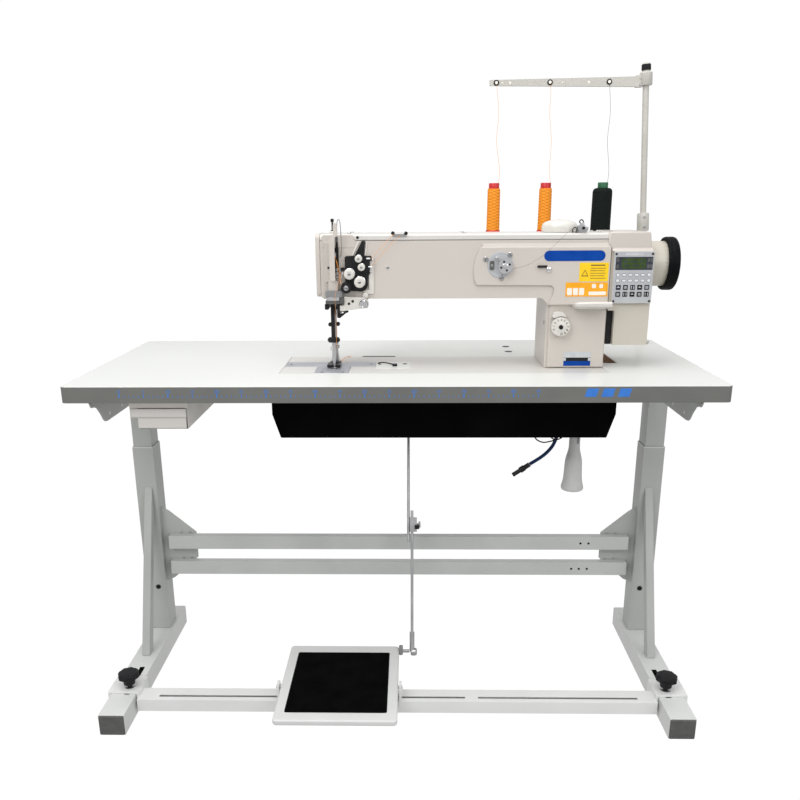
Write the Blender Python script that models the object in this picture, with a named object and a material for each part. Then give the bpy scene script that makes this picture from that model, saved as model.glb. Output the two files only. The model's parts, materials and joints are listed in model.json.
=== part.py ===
"""Long-arm leather sewing machine on a height-adjustable table stand.

Units are metres, +X to the operator's right, +Y away from the operator, +Z up.
Every shape is laid out in the table's frame: X from the table's middle, Y from its front edge, Z from
the floor. The empty "origin" then puts the middle of the machine's footprint at the world origin.
"""
import math

import bmesh
import bpy
from mathutils import Vector

# ---- driving dimensions --------------------------------------------------------------------------
GAP = 0.0004                    # running gap between neighbouring solids
FOOTPRINT_MID_Y = 0.238         # middle of the footprint, from the table's front edge

TABLE_WIDTH = 1.36
TABLE_DEPTH = 0.60
TABLE_Z = 0.782                 # top surface above the floor
TABLE_THICK = 0.034

FOOT_X = 0.633                  # middle of each foot tube
FOOT_WIDTH = 0.058
FOOT_HEIGHT = 0.050
FOOT_Y = (-0.059, 0.469)
COLUMN_X = 0.638
COLUMN_WIDTH = 0.052
COLUMN_Y = (0.341, 0.401)
COLUMN_TOP = 0.555
TUBE_WALL = 0.0018
INNER_BOTTOM = 0.300            # lower end of the sliding inner tube
RAIL_X = 0.593
RAIL_HEIGHT = 0.036
RAIL_Z = (0.299, 0.228)         # middles of the upper and lower rail
RAIL_Y = (0.338, 0.359)

CROSSBAR_Y = (0.012, 0.062)
CROSSBAR_Z = (0.014, 0.044)
SLEEVE_Y = (0.026, 0.095)
KNOB_Y = 0.050
PEDAL_X = (-0.264, 0.006)
PEDAL_Y = (-0.124, 0.193)
PEDAL_Z = (0.070, 0.084)
PEDAL_PIVOT = (0.0, 0.019, 0.077)
MAT_X = (-0.240, -0.018)
MAT_Y = (-0.102, 0.167)

ROD_R = 0.0035
ROD_LOW = Vector((0.038, 0.180, 0.085))      # ball joint on the pedal's rear corner
ROD_HIGH = Vector((0.029, 0.370, 0.610))     # joint on the speed lever, beside the lower rod
LEVER_PIVOT = (0.038, 0.450, 0.610)

BED_X = (-0.252, 0.462)
BED_Y = (0.137, 0.345)
BED_PLATE = 0.008
BED_SKIRT = 0.032
HINGE_Z = TABLE_Z + 0.0005
ARM_X = (-0.160, 0.462)
ARM_Y = (0.190, 0.320)
ARM_Z = (0.936, 1.058)
PILLAR_X = 0.331
PILLAR_Y = (0.197, 0.344)
ARM_WALL = 0.007
COVER_Z = 1.072
FACE_X = -0.170
NEEDLE = (-0.137, 0.224)        # X and Y of the needle line
PRESSER_OFFSET = 0.019          # presser bar behind the needle bar
SHAFT_YZ = (0.255, 1.0035)      # main shaft axis
HOOK_YZ = (0.224, 0.735)        # hook shaft axis, under the bed
MOTOR_X = (0.4625, 0.552)
MOTOR_Y = (0.187, 0.333)
MOTOR_Z = (0.834, 1.0725)
WHEEL_X = (0.590, 0.616)
WHEEL_R = 0.0573
PAN_X = (-0.262, 0.470)
PAN_Y = (0.080, 0.352)
PAN_Z = (0.652, TABLE_Z - TABLE_THICK - GAP)
DRAWER_X = (-0.5355, -0.4305)
DRAWER_Y = (0.030, 0.330)
DRAWER_Z = (0.686, TABLE_Z - TABLE_THICK - GAP)

POLE_FOOT = Vector((0.639, 0.550, TABLE_Z + 0.0018))
POLE_HEAD = Vector((0.599, 0.550, 1.440))
POLE_R = 0.0075
CONE_Z = 1.056                  # underside of the thread cones
CONE_X = (0.243, 0.372, 0.514)
GUIDE_Z = 1.411

# ---- colours: base colour, metallic, roughness ---------------------------------------------------
COLOURS = {
    "cream": ((0.86, 0.84, 0.80), 0.0, 0.35),
    "grey_steel": ((0.62, 0.64, 0.62), 0.3, 0.45),
    "white_top": ((0.91, 0.91, 0.88), 0.0, 0.4),
    "black": ((0.02, 0.02, 0.022), 0.0, 0.45),
    "metal": ((0.62, 0.62, 0.63), 1.0, 0.28),
    "orange": ((0.90, 0.28, 0.03), 0.0, 0.8),
    "dark_thread": ((0.03, 0.04, 0.035), 0.0, 0.85),
    "clear_plastic": ((0.85, 0.87, 0.87), 0.0, 0.3),
    "blue_hose": ((0.02, 0.05, 0.16), 0.0, 0.4),
    "panel_grey": ((0.45, 0.46, 0.47), 0.0, 0.5),
}


def clear_scene():
    for item in list(bpy.data.objects):
        bpy.data.objects.remove(item, do_unlink=True)


def material(name):
    found = bpy.data.materials.get(name)
    if found:
        return found
    colour, metallic, roughness = COLOURS[name]
    made = bpy.data.materials.new(name)
    made.use_nodes = True
    shader = made.node_tree.nodes["Principled BSDF"]
    shader.inputs["Base Color"].default_value = (*colour, 1.0)
    shader.inputs["Metallic"].default_value = metallic
    shader.inputs["Roughness"].default_value = roughness
    return made


def place(name, shape, colour, pivot=(0, 0, 0), smooth=False):
    """Turn a bmesh in the table's frame into an object whose origin is at pivot."""
    bmesh.ops.recalc_face_normals(shape, faces=shape.faces)
    bmesh.ops.translate(shape, verts=shape.verts, vec=-Vector(pivot))
    mesh = bpy.data.meshes.new(name)
    shape.to_mesh(mesh)
    shape.free()
    if smooth:
        mesh.shade_smooth()
        mesh.set_sharp_from_angle(angle=math.radians(35))
    item = bpy.data.objects.new(name, mesh)
    bpy.context.collection.objects.link(item)
    item.parent = bpy.data.objects["origin"]
    item.location = pivot
    item.data.materials.append(material(colour))
    return item


def combine(target, operation, *tools):
    """Join tools to the target, or cut them from it, with Boolean modifiers that stay on it."""
    for tool in tools:
        step = target.modifiers.new(operation.lower(), "BOOLEAN")
        step.operation = operation
        step.solver = "EXACT"
        step.object = tool
        tool.hide_render = True
        tool.display_type = "WIRE"
    return target


def add(target, *tools):
    return combine(target, "UNION", *tools)


def cut(target, *tools):
    return combine(target, "DIFFERENCE", *tools)


def block(name, x, y, z, colour="metal", pivot=(0, 0, 0)):
    shape = bmesh.new()
    bmesh.ops.create_cube(shape, size=1.0)
    for vert in shape.verts:
        vert.co.x = x[0] if vert.co.x < 0 else x[1]
        vert.co.y = y[0] if vert.co.y < 0 else y[1]
        vert.co.z = z[0] if vert.co.z < 0 else z[1]
    return place(name, shape, colour, pivot)


def prism(name, outline, axis, span, colour="metal", pivot=(0, 0, 0)):
    """Extrude an outline along an axis. The outline lists the other two coordinates in X, Y, Z order."""
    shape = bmesh.new()
    loops = []
    for level in span:
        loop = []
        for a, b in outline:
            point = {"x": (level, a, b), "y": (a, level, b), "z": (a, b, level)}[axis]
            loop.append(shape.verts.new(point))
        loops.append(loop)
    count = len(outline)
    shape.faces.new(loops[0])
    shape.faces.new(loops[1][::-1])
    for i in range(count):
        j = (i + 1) % count
        shape.faces.new((loops[0][i], loops[0][j], loops[1][j], loops[1][i]))
    return place(name, shape, colour, pivot)


def turned(name, profile, base, direction, colour="metal", pivot=None, sides=24, ring=False):
    """Revolve a profile of (radius, height) about the line through base along direction.

    A radius of zero closes an end. With ring, the profile is a closed loop that stays off the axis.
    """
    shape = bmesh.new()
    turn = Vector((0, 0, 1)).rotation_difference(Vector(direction).normalized()).to_matrix()
    origin = Vector(base)
    rows = []
    for radius, height in profile:
        steps = sides if radius > 0 else 1
        row = []
        for i in range(steps):
            angle = 2 * math.pi * i / sides
            local = Vector((radius * math.cos(angle), radius * math.sin(angle), height))
            row.append(shape.verts.new(origin + turn @ local))
        rows.append(row)
    pairs = list(zip(rows, rows[1:]))
    if ring:
        pairs.append((rows[-1], rows[0]))
    for low, high in pairs:
        for i in range(sides):
            j = (i + 1) % sides
            if len(low) == 1:
                shape.faces.new((low[0], high[j], high[i]))
            elif len(high) == 1:
                shape.faces.new((low[i], low[j], high[0]))
            else:
                shape.faces.new((low[i], low[j], high[j], high[i]))
    if not ring:
        for row in (rows[0], rows[-1]):
            if len(row) > 1:
                shape.faces.new(row)
    return place(name, shape, colour, base if pivot is None else pivot, smooth=True)


def rod(name, start, end, radius, colour="metal", pivot=None, sides=16):
    way = Vector(end) - Vector(start)
    profile = [(radius, 0), (radius, way.length)]
    return turned(name, profile, start, way, colour, pivot, sides)


def rounded(x, z, radius, steps=4):
    """A rectangle's outline with round corners."""
    points = []
    corners = ((x[1], z[1], 0), (x[0], z[1], 90), (x[0], z[0], 180), (x[1], z[0], 270))
    for cx, cz, start in corners:
        mid_x = cx - math.copysign(radius, cx - sum(x) / 2)
        mid_z = cz - math.copysign(radius, cz - sum(z) / 2)
        for i in range(steps + 1):
            angle = math.radians(start + 90 * i / steps)
            points.append((mid_x + radius * math.cos(angle), mid_z + radius * math.sin(angle)))
    return points


def mirrored(x, side):
    """An X span on the right, or its mirror image when side is -1."""
    return tuple(sorted((x[0] * side, x[1] * side)))


def smooth_route(points, spacing):
    """Points read every spacing or so from a Catmull-Rom curve through the route's own points."""
    ends = [2 * points[0] - points[1], *points, 2 * points[-1] - points[-2]]
    route = []
    for a, b, c, d in zip(ends, ends[1:], ends[2:], ends[3:]):
        steps = max(1, round((c - b).length / spacing))
        for i in range(steps):
            t = i / steps
            route.append(0.5 * (2 * b + (c - a) * t + (2 * a - 5 * b + 4 * c - d) * t * t
                                + (3 * b - a - 3 * c + d) * t ** 3))
    route.append(points[-1])
    return route


# ---- stand ---------------------------------------------------------------------------------------
def make_foot(label, side):
    outer = mirrored((FOOT_X - FOOT_WIDTH / 2, FOOT_X + FOOT_WIDTH / 2), side)
    foot = block(f"{label}_foot", outer, FOOT_Y, (0, FOOT_HEIGHT), "grey_steel")
    inside = block(f"cut_{label}_foot", (outer[0] + TUBE_WALL, outer[1] - TUBE_WALL),
                   (FOOT_Y[0] + TUBE_WALL, FOOT_Y[1] - TUBE_WALL), (TUBE_WALL, FOOT_HEIGHT - TUBE_WALL))
    middle = side * (FOOT_X - 0.008)
    slot = block(f"cut_{label}_slot", (middle - 0.006, middle + 0.006), (0.024, 0.146), (0.03, 0.06))
    cut(foot, inside, slot)


def make_outer_column(label, side):
    half = COLUMN_WIDTH / 2
    bottom = FOOT_HEIGHT + GAP
    outer = mirrored((COLUMN_X - half, COLUMN_X + half), side)
    column = block(f"{label}_outer_column", outer, COLUMN_Y, (bottom, COLUMN_TOP), "grey_steel")
    inner_x = COLUMN_X - half
    gusset = prism(f"join_{label}_gusset",
                   [(side * x, z) for x, z in ((inner_x + 0.004, 0.395), (inner_x - 0.020, 0.378),
                                               (0.525, 0.320), (0.525, 0.250), (inner_x - 0.020, 0.190),
                                               (inner_x + 0.004, 0.180))], "y", (0.3595, 0.3640))
    bore = block(f"cut_{label}_bore", (outer[0] + TUBE_WALL, outer[1] - TUBE_WALL),
                 (COLUMN_Y[0] + TUBE_WALL, COLUMN_Y[1] - TUBE_WALL), (0.0, COLUMN_TOP + 0.05))
    add(column, gusset)
    cut(column, bore)


def make_brace(label, side):
    outline = ((COLUMN_Y[0] - GAP, 0.452), (COLUMN_Y[0] - GAP, 0.398),
               (0.228, FOOT_HEIGHT + GAP), (0.196, FOOT_HEIGHT + GAP))
    span = mirrored((FOOT_X - 0.010, FOOT_X + 0.010), side)
    prism(f"{label}_brace", outline, "x", span, "grey_steel")


def make_rail(name, middle):
    """A C-section rail with its open side to the back."""
    wall = 0.0025
    half = RAIL_HEIGHT / 2
    front, back = RAIL_Y
    outline = ((front, middle - half), (back, middle - half), (back, middle - half + wall),
               (front + wall, middle - half + wall), (front + wall, middle + half - wall),
               (back, middle + half - wall), (back, middle + half), (front, middle + half))
    prism(name, outline, "x", (-RAIL_X, RAIL_X), "grey_steel")


def make_crossbar():
    ends = FOOT_X - FOOT_WIDTH / 2 - 0.006
    crossbar = block("crossbar", (-ends, ends), CROSSBAR_Y, CROSSBAR_Z, "grey_steel")
    wall = 0.0025
    cut(crossbar, block("cut_crossbar", (-ends + wall, ends - wall),
                        (CROSSBAR_Y[0] + wall, CROSSBAR_Y[1] - wall),
                        (CROSSBAR_Z[0] + wall, CROSSBAR_Z[1] - wall)))
    for i, span in enumerate(((-0.550, 0.160), (0.190, 0.556))):
        cut(crossbar, block(f"cut_crossbar_slot_{i}", span, (0.026, 0.034), (0.038, 0.050)))
    for label, side in (("left", -1), ("right", 1)):
        outer = mirrored((FOOT_X - 0.036, FOOT_X + 0.036), side)
        sleeve = block(f"join_{label}_sleeve", outer, SLEEVE_Y, (0.010, FOOT_HEIGHT + 0.005))
        inside = mirrored((FOOT_X - FOOT_WIDTH / 2 - 0.001, FOOT_X + FOOT_WIDTH / 2 + 0.001), side)
        channel = block(f"cut_{label}_sleeve", inside, (0, 0.12), (-0.01, FOOT_HEIGHT + 0.0006))
        stem = rod(f"cut_{label}_stem", (side * (FOOT_X - 0.008), KNOB_Y, 0.03),
                   (side * (FOOT_X - 0.008), KNOB_Y, 0.08), 0.0052)
        add(crossbar, sleeve)
        cut(crossbar, channel, stem)
    pivot_y, pivot_z = PEDAL_PIVOT[1:]
    ears = ((PEDAL_X[0] - 0.008, PEDAL_X[0] - 0.002), (PEDAL_X[1] + 0.002, PEDAL_X[1] + 0.008))
    for i, x in enumerate(ears):
        ear = prism(f"join_ear_{i}", ((pivot_y - 0.010, pivot_z + 0.011), (pivot_y - 0.010, 0.032),
                                      (pivot_y + 0.024, 0.032), (pivot_y + 0.024, 0.044),
                                      (pivot_y + 0.010, pivot_z + 0.011)), "x", x)
        hole = rod(f"cut_ear_{i}", (x[0] - 0.01, pivot_y, pivot_z), (x[1] + 0.01, pivot_y, pivot_z), 0.0048)
        add(crossbar, ear)
        cut(crossbar, hole)


def make_clamp_knob(label, side):
    """A mushroom knob on a threaded stem that reaches into the foot's slot."""
    profile = ((0, 0.038), (0.0042, 0.038), (0.0042, 0.0565), (0.009, 0.0565), (0.009, 0.076),
               (0.0205, 0.076), (0.0235, 0.080), (0.0235, 0.086), (0.019, 0.092), (0, 0.094))
    turned(f"{label}_clamp_knob", profile, (side * (FOOT_X - 0.008), KNOB_Y, 0), (0, 0, 1), "black")


# ---- treadle -------------------------------------------------------------------------------------
def make_pedal():
    frame = block("pedal_frame", PEDAL_X, PEDAL_Y, PEDAL_Z, "grey_steel", PEDAL_PIVOT)
    pocket = block("cut_pedal_pocket", MAT_X, MAT_Y, (PEDAL_Z[1] - 0.003, PEDAL_Z[1] + 0.01))
    inset = 0.006
    below = block("cut_pedal_below", (PEDAL_X[0] + inset, PEDAL_X[1] - inset),
                  (PEDAL_Y[0] + inset, PEDAL_Y[1] - inset), (PEDAL_Z[0] - 0.01, PEDAL_Z[1] - 0.0065))
    cut(frame, pocket, below)
    y, z = PEDAL_PIVOT[1:]
    pins = ((PEDAL_X[0] - 0.010, PEDAL_X[0] + 0.003, y, z), (PEDAL_X[1] - 0.003, PEDAL_X[1] + 0.010, y, z),
            (PEDAL_X[1] - 0.003, ROD_LOW.x - 0.0065, ROD_LOW.y, PEDAL_Z[1] - 0.007))
    for i, (start, end, pin_y, pin_z) in enumerate(pins):
        add(frame, rod(f"join_pedal_pin_{i}", (start, pin_y, pin_z), (end, pin_y, pin_z), 0.004))
    gap = 0.0005
    mat_x = (MAT_X[0] + gap, MAT_X[1] - gap)
    mat_y = (MAT_Y[0] + gap, MAT_Y[1] - gap)
    block("pedal_mat", mat_x, mat_y, (PEDAL_Z[1] - 0.0026, PEDAL_Z[1] + 0.002), "black", PEDAL_PIVOT)


def rod_point(x, distance):
    """A point at a distance along the leaning treadle rods, in the plane at x."""
    way = (ROD_HIGH - ROD_LOW)
    way.x = 0
    way.normalize()
    return Vector((x, ROD_LOW.y, ROD_LOW.z)) + way * distance


def make_treadle_rods():
    low_x, high_x = ROD_LOW.x, ROD_HIGH.x
    total = math.hypot(ROD_HIGH.y - ROD_LOW.y, ROD_HIGH.z - ROD_LOW.z)
    lower = rod("lower_treadle_rod", rod_point(low_x, 0.02), rod_point(low_x, 0.340), ROD_R, "metal",
                ROD_LOW)
    joint = rod("join_lower_joint", rod_point(low_x, -0.008), rod_point(low_x, 0.040), 0.006)
    add(lower, joint)
    clamp = block("rod_clamp", (-0.0055, 0.012), (-0.008, 0.008), (-0.018, 0.018), "black")
    lean = math.atan2(ROD_HIGH.y - ROD_LOW.y, ROD_HIGH.z - ROD_LOW.z)
    place_at = rod_point(low_x, 0.305)
    clamp.location = place_at
    clamp.rotation_euler = (-lean, 0, 0)
    screw = rod("join_wing_stem", place_at + Vector((0.008, 0, 0)), place_at + Vector((0.018, 0, 0)), 0.003)
    wing = block("join_wing", (place_at.x + 0.016, place_at.x + 0.021),
                 (place_at.y - 0.011, place_at.y + 0.011),
                 (place_at.z - 0.004, place_at.z + 0.004))
    bore = rod("cut_clamp_bore", rod_point(low_x, 0.27), rod_point(low_x, 0.345), ROD_R + GAP)
    add(clamp, screw, wing)
    cut(clamp, bore)
    upper = rod("upper_treadle_rod", rod_point(high_x, 0.262), rod_point(high_x, total - 0.012), ROD_R,
                "metal", ROD_HIGH)
    eye = block("join_upper_eye", (high_x - 0.005, high_x + 0.005), (ROD_HIGH.y - 0.008, ROD_HIGH.y + 0.008),
                (ROD_HIGH.z - 0.018, ROD_HIGH.z + 0.010))
    add(upper, eye)


def make_speed_control():
    """The control box under the table's rear, and the lever that the upper rod hangs on."""
    body = block("control_box", (-0.090, 0.150), (0.430, 0.570), (0.632, PAN_Z[1]), "black")
    add(body, block("join_lever_bracket", (0.046, 0.052), (0.436, 0.464), (0.598, 0.640)))
    y, z = LEVER_PIVOT[1:]
    outline = ((ROD_HIGH.y - 0.008, z - 0.006), (y + 0.010, z - 0.008),
               (y + 0.010, z + 0.008), (ROD_HIGH.y - 0.008, z + 0.006))
    lever = prism("speed_lever", outline, "x", (0.0355, 0.0455), "metal", LEVER_PIVOT)


# ---- table ---------------------------------------------------------------------------------------
def make_table_top():
    half = TABLE_WIDTH / 2
    top = prism("table_top", rounded((-half, half), (0, TABLE_DEPTH), 0.012), "z",
                (TABLE_Z - TABLE_THICK, TABLE_Z), "white_top")
    margin = 0.0008
    opening = block("cut_head_opening", (BED_X[0] - margin, BED_X[1] + margin),
                    (BED_Y[0] - margin, BED_Y[1] + margin),
                    (TABLE_Z - 0.1, TABLE_Z + 0.1))
    belt = block("cut_belt_opening", (0.478, 0.5075), (0.253, 0.385), (TABLE_Z - 0.1, TABLE_Z + 0.1))
    cut(top, opening, belt)


def make_inner_column(label, side):
    clear = TUBE_WALL + 0.0006
    outer = mirrored((COLUMN_X - COLUMN_WIDTH / 2 + clear, COLUMN_X + COLUMN_WIDTH / 2 - clear), side)
    depth = (COLUMN_Y[0] + clear, COLUMN_Y[1] - clear)
    top = TABLE_Z - TABLE_THICK - GAP
    column = block(f"{label}_inner_column", outer, depth, (INNER_BOTTOM, top - 0.003), "grey_steel")
    wall = 0.0025
    bore = block(f"cut_{label}_inner", (outer[0] + wall, outer[1] - wall),
                 (depth[0] + wall, depth[1] - wall),
                 (INNER_BOTTOM - 0.01, top - 0.010))
    web_x = mirrored((0.6285, 0.6315), side)
    web = prism(f"join_{label}_web", ((0.006, top), (0.0185, 0.7442), (0.025, 0.7330), (0.031, 0.7300),
                                      (0.042, 0.7290), (0.056, 0.7245), (0.0745, 0.7070), (0.088, 0.6905),
                                      (0.097, 0.6850), (0.111, 0.6830), (0.505, 0.6830), (0.530, 0.6900),
                                      (0.560, top)), "x", web_x)
    flange = block(f"join_{label}_flange", mirrored((0.6085, 0.6590), side), (0.020, 0.570),
                   (top - 0.003, top))
    cut(column, bore)
    add(column, web, flange)


def make_drawer():
    wall = 0.0015
    housing = block("drawer_housing", DRAWER_X, DRAWER_Y, DRAWER_Z, "cream")
    inner_x = (DRAWER_X[0] + wall, DRAWER_X[1] - wall)
    mouth = block("cut_housing_mouth", inner_x, (DRAWER_Y[0] - 0.01, DRAWER_Y[0] + 0.01),
                  (DRAWER_Z[0] + wall, 0.7312))
    hollow = block("cut_housing", inner_x, (DRAWER_Y[0] + 0.003, DRAWER_Y[1] - wall),
                   (DRAWER_Z[0] + wall, DRAWER_Z[1] - wall))
    band = block("join_housing_band", (-0.5500, -0.4280), (DRAWER_Y[0] - 0.0035, DRAWER_Y[0] + 0.0025),
                 (0.7312, DRAWER_Z[1]))
    add(housing, band)
    cut(housing, mouth, hollow)
    clear = wall + 0.0008
    tray_x = (DRAWER_X[0] + clear, DRAWER_X[1] - clear)
    tray_y = (DRAWER_Y[0] - 0.0040, DRAWER_Y[1] - clear - 0.002)
    tray_z = (DRAWER_Z[0] + clear, 0.728)
    tray = block("drawer", tray_x, tray_y, tray_z, "cream")
    inside = block("cut_drawer", (tray_x[0] + 0.002, tray_x[1] - 0.002),
                   (tray_y[0] + 0.0045, tray_y[1] - 0.002),
                   (tray_z[0] + 0.002, 0.75))
    lip = prism("join_drawer_lip", ((0.0225, 0.7300), (0.0225, 0.7135), (0.0250, 0.7105), (0.0290, 0.7105),
                                    (0.0290, 0.7300)), "x", (-0.5470, -0.4315))
    cut(tray, inside)
    add(tray, lip)


def make_oil_pan():
    """A tapered drip pan that hangs under the head's opening."""
    slope = 0.0165
    wall = 0.003

    def pan_outline(inset, bottom):
        return ((PAN_X[0] + inset, PAN_Z[1] + inset * 3), (PAN_X[0] + inset, PAN_Z[1] - 0.044),
                (PAN_X[0] + inset + slope, bottom), (PAN_X[1] - inset - slope, bottom),
                (PAN_X[1] - inset, PAN_Z[1] - 0.044), (PAN_X[1] - inset, PAN_Z[1] + inset * 3))

    pan = prism("oil_pan", pan_outline(0, PAN_Z[0]), "y", PAN_Y, "black")
    cut(pan, prism("cut_pan", pan_outline(wall, PAN_Z[0] + wall), "y", (PAN_Y[0] + wall, PAN_Y[1] - wall)))


def make_oil_bottle():
    top = PAN_Z[0] - GAP
    profile = ((0, 0.4945), (0.0235, 0.4945), (0.0258, 0.4975), (0.0258, 0.5040), (0.0222, 0.5160),
               (0.0212, 0.5260), (0.0196, 0.5600), (0.0165, 0.5740), (0.0125, 0.5960),
               (0.0125, top), (0.0100, top), (0.0100, 0.5955), (0.0140, 0.5740), (0.0172, 0.5590),
               (0.0188, 0.5260), (0.0195, 0.5170), (0.0225, 0.5060), (0.0225, 0.4990), (0, 0.4970))
    turned("oil_bottle", profile, (0.411, 0.200, 0), (0, 0, 1), "clear_plastic")


def make_air_hose():
    """A short stiff hose from the pan's underside to a push-in connector."""
    route = [Vector((0.371, 0.200, PAN_Z[0] - 0.0010)), Vector((0.3705, 0.200, 0.630)),
             Vector((0.3659, 0.200, 0.6106)), Vector((0.3563, 0.200, 0.5928)),
             Vector((0.3387, 0.200, 0.5748)), Vector((0.3105, 0.200, 0.5554))]
    line = bpy.data.curves.new("air_hose", "CURVE")
    line.dimensions = "3D"
    line.bevel_depth = 0.004
    line.bevel_resolution = 2
    line.use_fill_caps = True
    points = smooth_route(route, 0.010)
    spline = line.splines.new("POLY")
    spline.points.add(len(points) - 1)
    for target, point in zip(spline.points, points):
        target.co = (*point, 1.0)
    hose = bpy.data.objects.new("air_hose", line)
    bpy.context.collection.objects.link(hose)
    hose.parent = bpy.data.objects["origin"]
    line.materials.append(material("blue_hose"))
    way = (route[-1] - route[-2]).normalized()
    start = route[-1] + way * 0.0006
    profile = ((0, 0), (0.0055, 0), (0.0055, 0.014), (0.0070, 0.014), (0.0070, 0.026), (0.0050, 0.026),
               (0.0050, 0.046), (0, 0.046))
    turned("hose_connector", profile, start, way, "metal", sides=16)


# ---- thread stand --------------------------------------------------------------------------------
def pole_at(height):
    share = (height - POLE_FOOT.z) / (POLE_HEAD.z - POLE_FOOT.z)
    return POLE_FOOT.lerp(POLE_HEAD, share)


def make_thread_stand():
    way = (POLE_HEAD - POLE_FOOT).normalized()
    length = (POLE_HEAD - POLE_FOOT).length
    along = 1 / way.z
    joint = ((1.066 - POLE_FOOT.z) * along, (1.108 - POLE_FOOT.z) * along)
    head = (1.402 - POLE_FOOT.z) * along
    profile = ((0, 0), (0.022, 0), (0.022, 0.004), (0.013, 0.010), (POLE_R, 0.012),
               (POLE_R, joint[0]), (0.0145, joint[0]), (0.0145, joint[1]), (POLE_R, joint[1]),
               (POLE_R, head), (0.0150, head), (0.0150, length - 0.008), (0.0100, length - 0.008),
               (0.0100, length + 0.012), (0, length + 0.012))
    turned("thread_pole", profile, POLE_FOOT, way, "grey_steel", sides=20)

    bar_end = pole_at(1.040).x - 0.0088
    bar = block("spool_bar", (CONE_X[0] - 0.020, bar_end), (0.541, 0.559), (1.034, 1.046), "grey_steel")
    for i, x in enumerate(CONE_X):
        rest = turned(f"join_spool_rest_{i}", ((0, 1.040), (0.022, 1.040), (0.022, 1.049), (0.010, 1.051),
                                               (0.003, 1.053), (0.003, 1.105), (0, 1.107)),
                      (x, 0.550, 0), (0, 0, 1), sides=16)
        add(bar, rest)

    guide_end = pole_at(GUIDE_Z).x - 0.0160
    outline = ((CONE_X[0] - 0.018, GUIDE_Z - 0.0065), (guide_end, GUIDE_Z - 0.0115),
               (guide_end, GUIDE_Z + 0.0115),
               (CONE_X[0] - 0.018, GUIDE_Z + 0.0065))
    guide = prism("guide_bar", outline, "y", (0.546, 0.554), "grey_steel")
    for i, x in enumerate(CONE_X):
        eyelet = rod(f"cut_eyelet_{i}", (x - 0.002, 0.53, GUIDE_Z), (x - 0.002, 0.57, GUIDE_Z), 0.0035)
        cut(guide, eyelet)


def make_cone(name, x, low_r, high_r, cap_r, height, colour):
    """Thread on a tall cone: a flange, a nearly straight side, a shoulder and a bare cap."""
    bore = 0.0065
    shoulder = height - 0.013
    drop = (high_r - cap_r) * 0.75
    profile = ((bore, 0), (low_r + 0.0015, 0), (low_r + 0.0015, 0.006), (low_r, 0.008),
               (high_r, shoulder - drop), (cap_r + 0.0015, shoulder), (cap_r, shoulder), (cap_r, height),
               (bore, height))
    turned(name, profile, (x, 0.550, CONE_Z), (0, 0, 1), colour, ring=True)


# ---- head ----------------------------------------------------------------------------------------
def needle_plate_parts(grow):
    """X and Y spans of the T-shaped needle plate's bar and tongue, grown by a margin."""
    bar = ((-0.2505 - grow, -0.046 + grow), (0.215 - grow, 0.274 + grow))
    tongue = ((-0.176 - grow, -0.101 + grow), (0.139 - grow, 0.220 + grow))
    return bar, tongue


def make_bed():
    x = (BED_X[0] + GAP, BED_X[1] - GAP)
    y = (BED_Y[0] + GAP, BED_Y[1] - GAP)
    z = (TABLE_Z - BED_PLATE, TABLE_Z)
    bed = block("bed_plate", x, y, z, "cream", (0, BED_Y[1], HINGE_Z))
    skirt_y = (y[0] + 0.012, y[1])
    skirt = block("join_bed_skirt", x, skirt_y, (z[0] - BED_SKIRT, z[0] + 0.001))
    wall = 0.008
    hollow = block("cut_bed_hollow", (x[0] + wall, x[1] - wall), (skirt_y[0] + wall, skirt_y[1] - wall),
                   (z[0] - BED_SKIRT - 0.01, z[0]))
    add(bed, skirt)
    cut(bed, hollow)
    hook_y, hook_z = HOOK_YZ
    for i, web_x in enumerate((-0.085, 0.280)):
        add(bed, block(f"join_bed_web_{i}", (web_x, web_x + 0.012), (hook_y - 0.020, hook_y + 0.020),
                       (hook_z - 0.014, z[0] + 0.001)))
    cut(bed, rod("cut_hook_bearings", (-0.1, hook_y, hook_z), (0.32, hook_y, hook_z), 0.0065))
    for i, (px, py) in enumerate(needle_plate_parts(0.0004)):
        cut(bed, block(f"cut_plate_pocket_{i}", px, py, (TABLE_Z - 0.0034, TABLE_Z + 0.01)))
    cut(bed, block("cut_bed_needle", (-0.165, -0.100), (0.190, 0.250), (TABLE_Z - 0.02, TABLE_Z)))


def make_needle_plate():
    pivot = (0, BED_Y[1], HINGE_Z)
    (bar_x, bar_y), (tongue_x, tongue_y) = needle_plate_parts(0)
    z = (TABLE_Z - 0.0030, TABLE_Z)
    plate = block("needle_plate", bar_x, bar_y, z, "metal", pivot)
    add(plate, block("join_plate_tongue", tongue_x, tongue_y, z))
    x, y = NEEDLE
    cut(plate, block("cut_needle_hole", (x - 0.003, x + 0.003), (y - 0.007, y + 0.007),
                     (TABLE_Z - 0.01, TABLE_Z + 0.01)))


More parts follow.
